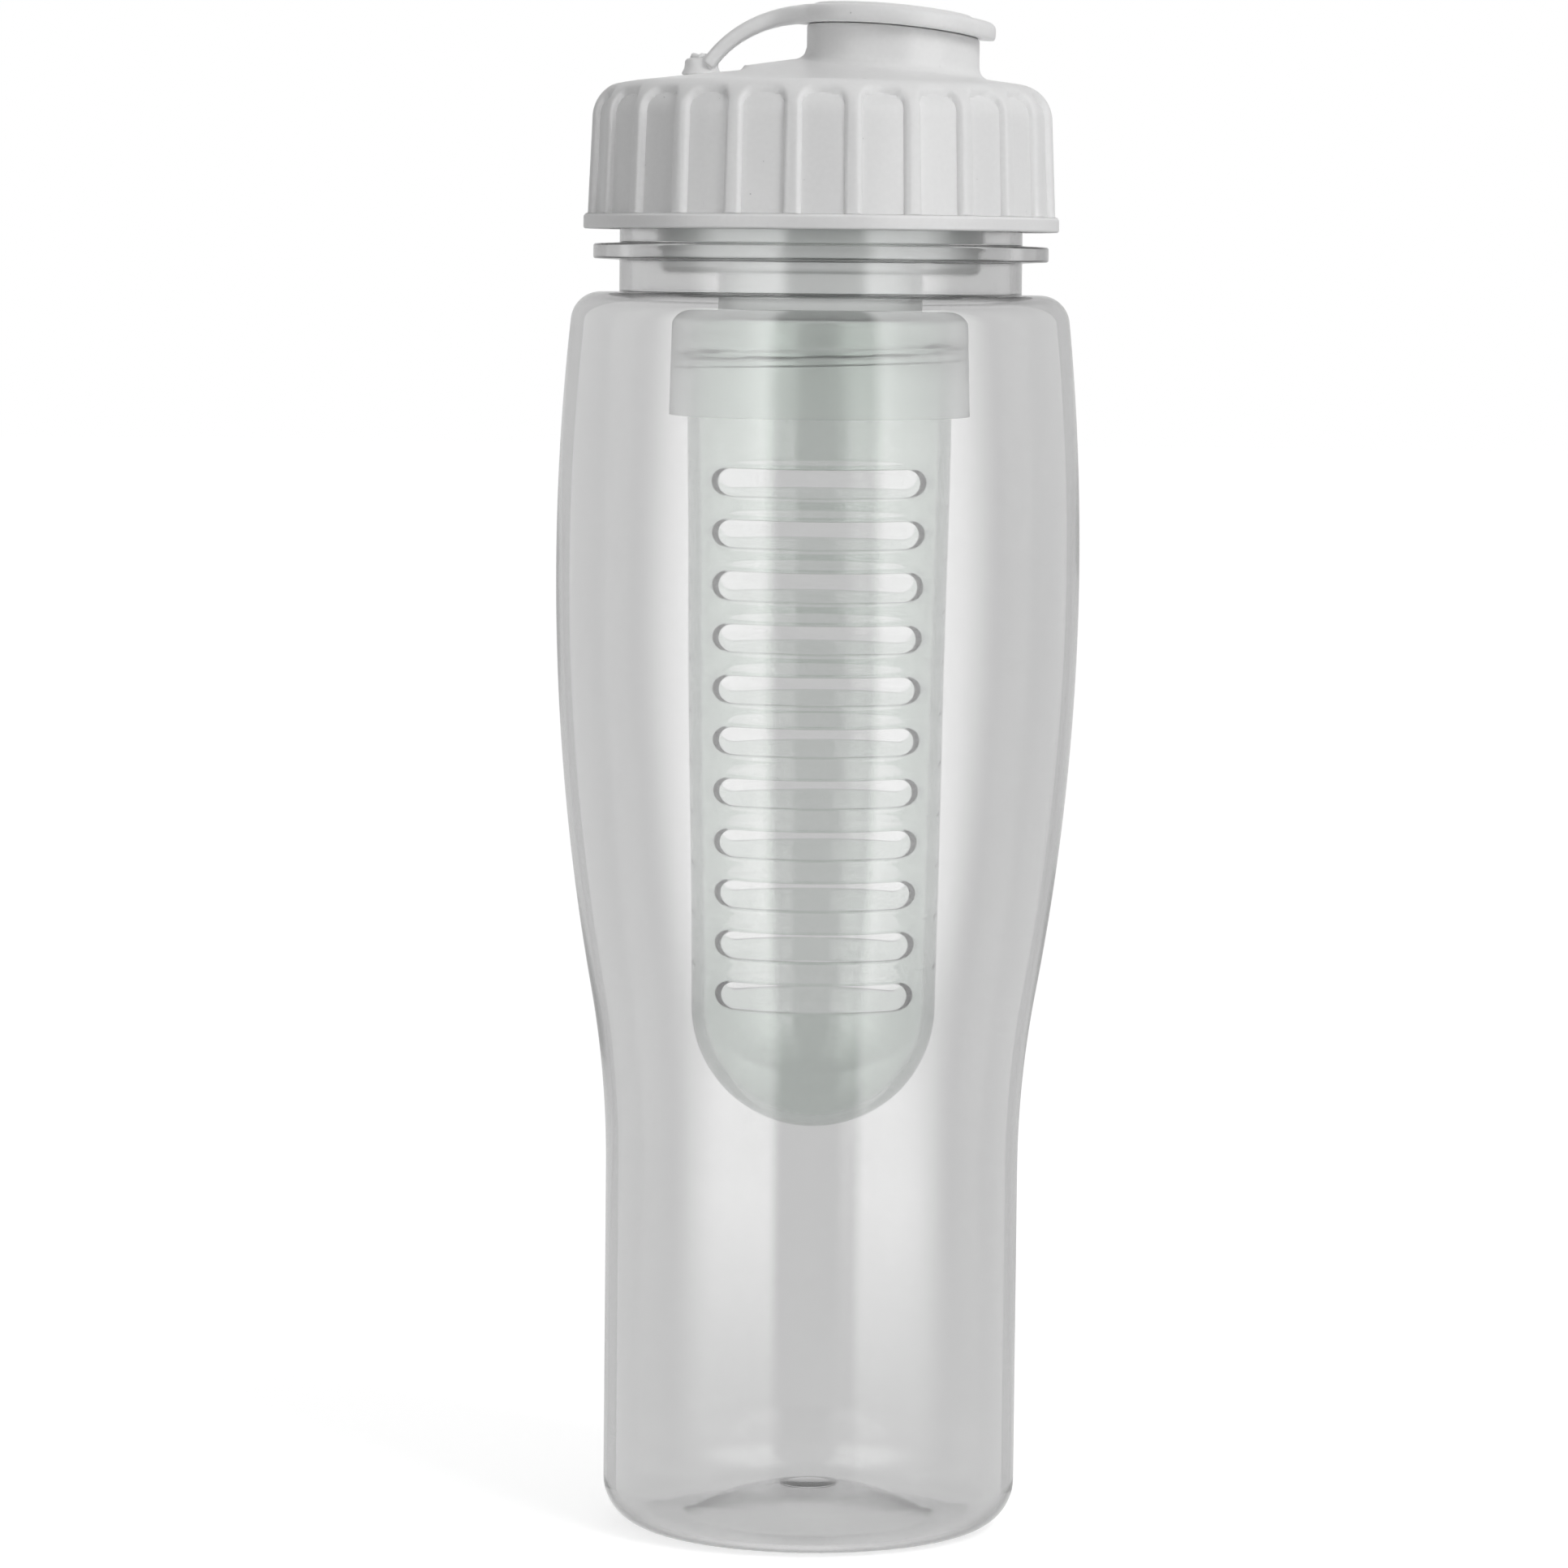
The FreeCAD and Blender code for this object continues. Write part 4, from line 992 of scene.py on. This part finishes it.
def surround():
    """A white background that is seen, and a fill that lights, stronger from the right than from the left."""
    world = bpy.data.worlds.new("studio")
    world.use_nodes = True
    bpy.context.scene.world = world
    tree = world.node_tree
    tree.nodes.clear()
    seen = tree.nodes.new("ShaderNodeBackground")
    seen.inputs["Color"].default_value = (1, 1, 1, 1)
    fill = tree.nodes.new("ShaderNodeBackground")
    fill.inputs["Color"].default_value = (1, 1, 1, 1)
    right = ramp_up(tree, parts_of(tree, "ShaderNodeTexCoord", "Generated")["X"], *FILL_EDGES)
    tree.links.new(scaled(tree, right, FILL_RIGHT - FILL_LEFT, FILL_LEFT), fill.inputs["Strength"])
    out = tree.nodes.new("ShaderNodeOutputWorld")
    tree.links.new(white_where_seen(tree, seen.outputs[0], fill.outputs[0]), out.inputs["Surface"])


def pale_floor():
    """A floor that looks white and keeps the shadow."""
    mesh = bpy.data.meshes.new("floor")
    span = FLOOR_SPAN / 2
    corners = [(x, y, -FLOOR_GAP) for x, y in ((-span, -span), (span, -span), (span, span), (-span, span))]
    mesh.from_pydata(corners, [], [(0, 1, 2, 3)])
    floor = bpy.data.objects.new("floor", mesh)
    bpy.context.collection.objects.link(floor)
    pale = bpy.data.materials.new("floor")
    pale.use_nodes = True
    tree = pale.node_tree
    tree.nodes.clear()
    matt = tree.nodes.new("ShaderNodeBsdfDiffuse")
    matt.inputs["Color"].default_value = (*even(FLOOR_ALBEDO), 1)
    glow = tree.nodes.new("ShaderNodeEmission")
    glow.inputs["Strength"].default_value = FLOOR_GLOW
    both = tree.nodes.new("ShaderNodeAddShader")
    out = tree.nodes.new("ShaderNodeOutputMaterial")
    tree.links.new(matt.outputs[0], both.inputs[0])
    tree.links.new(glow.outputs[0], both.inputs[1])
    tree.links.new(white_where_seen(tree, both.outputs[0], matt.outputs[0]), out.inputs["Surface"])
    mesh.materials.append(pale)
    floor.visible_glossy = False
    floor.visible_transmission = False


def lamp(name, turn, lift, level):
    """A square lamp aimed at the bottle's middle, turned from the camera's side and lifted over the floor."""
    light = bpy.data.lights.new(name, "AREA")
    light.shape = "SQUARE"
    light.size = LAMP_SIZE
    light.energy = level
    holder = bpy.data.objects.new(name, light)
    swing = Matrix.Rotation(math.radians(turn), 4, "Z") @ Matrix.Rotation(math.radians(90 - lift), 4, "X")
    aim = Matrix.Translation((0, 0, AIM_HEIGHT))
    holder.matrix_world = aim @ swing @ Matrix.Translation((0, 0, LAMP_REACH))
    holder.visible_camera = False
    holder.visible_glossy = False
    holder.visible_transmission = False
    bpy.context.collection.objects.link(holder)


def panel(name, first, last, low, high, shader):
    """A bowed studio panel between two angles from the camera's side, seen in the plastic only."""
    turn = np.radians(np.linspace(first, last, PANEL_COLUMNS))
    ring = np.column_stack((PANEL_REACH * np.sin(turn), -PANEL_REACH * np.cos(turn)))
    points = [(x, y, z) for z in (low, high) for x, y in ring]
    count = len(ring)
    mesh = bpy.data.meshes.new(name)
    mesh.from_pydata(points, [], [(i, i + 1, count + i + 1, count + i) for i in range(count - 1)])
    layer = mesh.uv_layers.new(name="UVMap")
    for loop in mesh.loops:
        step, row = loop.vertex_index % count, loop.vertex_index // count
        layer.data[loop.index].uv = (step / (count - 1), row)
    mesh.materials.append(shader(name))
    made = bpy.data.objects.new(name, mesh)
    bpy.context.collection.objects.link(made)
    made.visible_camera = False
    made.visible_diffuse = False
    made.visible_shadow = False


def mirrored(name):
    """A panel material whose glow shows in reflections only, with its node tree and its glow."""
    made = bpy.data.materials.new(name)
    made.use_nodes = True
    tree = made.node_tree
    tree.nodes.clear()
    path = tree.nodes.new("ShaderNodeLightPath")
    clear = tree.nodes.new("ShaderNodeBsdfTransparent")
    glow = tree.nodes.new("ShaderNodeEmission")
    mix = tree.nodes.new("ShaderNodeMixShader")
    out = tree.nodes.new("ShaderNodeOutputMaterial")
    tree.links.new(path.outputs["Glossy Depth"], mix.inputs["Fac"])
    tree.links.new(clear.outputs[0], mix.inputs[1])
    tree.links.new(glow.outputs[0], mix.inputs[2])
    tree.links.new(mix.outputs[0], out.inputs["Surface"])
    return made, tree, glow


def glowing(name):
    """A soft box face with a crisp edge at the camera's side, fading out at its far edge and its foot."""
    made, tree, glow = mirrored(name)
    place = parts_of(tree, "ShaderNodeUVMap", "UV")
    shine = ramp_up(tree, place["X"], *PANEL_NEAR_EDGE)
    shine = joined(tree, "MULTIPLY", shine, ramp_up(tree, place["X"], *PANEL_FAR_EDGE))
    shine = joined(tree, "MULTIPLY", shine, ramp_up(tree, place["Y"], *PANEL_FOOT))
    tree.links.new(scaled(tree, shine, PANEL_PEAK - 1, 1.0), glow.inputs["Strength"])
    return made


def grey(name):
    """The face of a grey flag, which keeps the edges of clear plastic from washing out."""
    made, _, glow = mirrored(name)
    glow.inputs["Strength"].default_value = FLAG_LEVEL
    return made


def look():
    """The camera at the photograph's place: a little above the middle, a slight roll."""
    camera = bpy.data.cameras.new("camera")
    camera.sensor_width = SENSOR
    camera.lens = LENS
    holder = bpy.data.objects.new("camera", camera)
    down = math.atan2(CAMERA_HEIGHT - AIM_HEIGHT, CAMERA_REACH)
    tilt = Matrix.Rotation(math.pi / 2 - down, 4, "X") @ Matrix.Rotation(CAMERA_ROLL, 4, "Z")
    holder.matrix_world = Matrix.Translation((CAMERA_X, -CAMERA_REACH, CAMERA_HEIGHT)) @ tilt
    bpy.context.collection.objects.link(holder)
    bpy.context.scene.camera = holder


# Studio and camera, in metres, degrees, watts, shares of white and shares of a panel's width and height.
# A lamp is (name, turn, lift, watts), and a panel is (name, first angle, last angle, foot, top, face).
FILL_LEFT = 0.27
FILL_RIGHT = 0.54
FILL_EDGES = (-0.9, 0.5)
FLOOR_SPAN = 12.0
FLOOR_GAP = 0.00005
FLOOR_ALBEDO = 0.75
FLOOR_GLOW = 0.68
LAMP_SIZE = 0.35
LAMP_REACH = 0.9
LAMPS = (("lamp_left", -60.0, 45.0, 0.15), ("lamp_right", 38.0, 38.0, 2.45))
PANEL_REACH = 0.16
PANEL_COLUMNS = 33
PANEL_PEAK = 4.5
PANEL_NEAR_EDGE = (0.04, 0.17)
PANEL_FAR_EDGE = (1.0, 0.58)
PANEL_FOOT = (0.012, 0.27)
FLAG_LEVEL = 0.7
PANELS = (
    ("soft_box_left", -12.0, -78.0, -0.04, 0.35, glowing),
    ("soft_box_right", 16.5, 78.0, -0.04, 0.35, glowing),
    ("flag_left", -128.0, -168.0, -0.03, 0.35, grey),
    ("flag_right", 128.0, 168.0, -0.03, 0.35, grey),
)
SENSOR = 36.0
LENS = 146.3
CAMERA_X = -0.0047
CAMERA_REACH = 0.95
CAMERA_HEIGHT = 0.188
AIM_HEIGHT = 0.1115
CAMERA_ROLL = math.radians(0.57)
BOUNCES = 24

surround()
pale_floor()
for each in LAMPS:
    lamp(*each)
for each in PANELS:
    panel(*each)
look()
scene = bpy.context.scene
scene.view_settings.view_transform = "Standard"
scene.cycles.max_bounces = BOUNCES
scene.cycles.transmission_bounces = BOUNCES
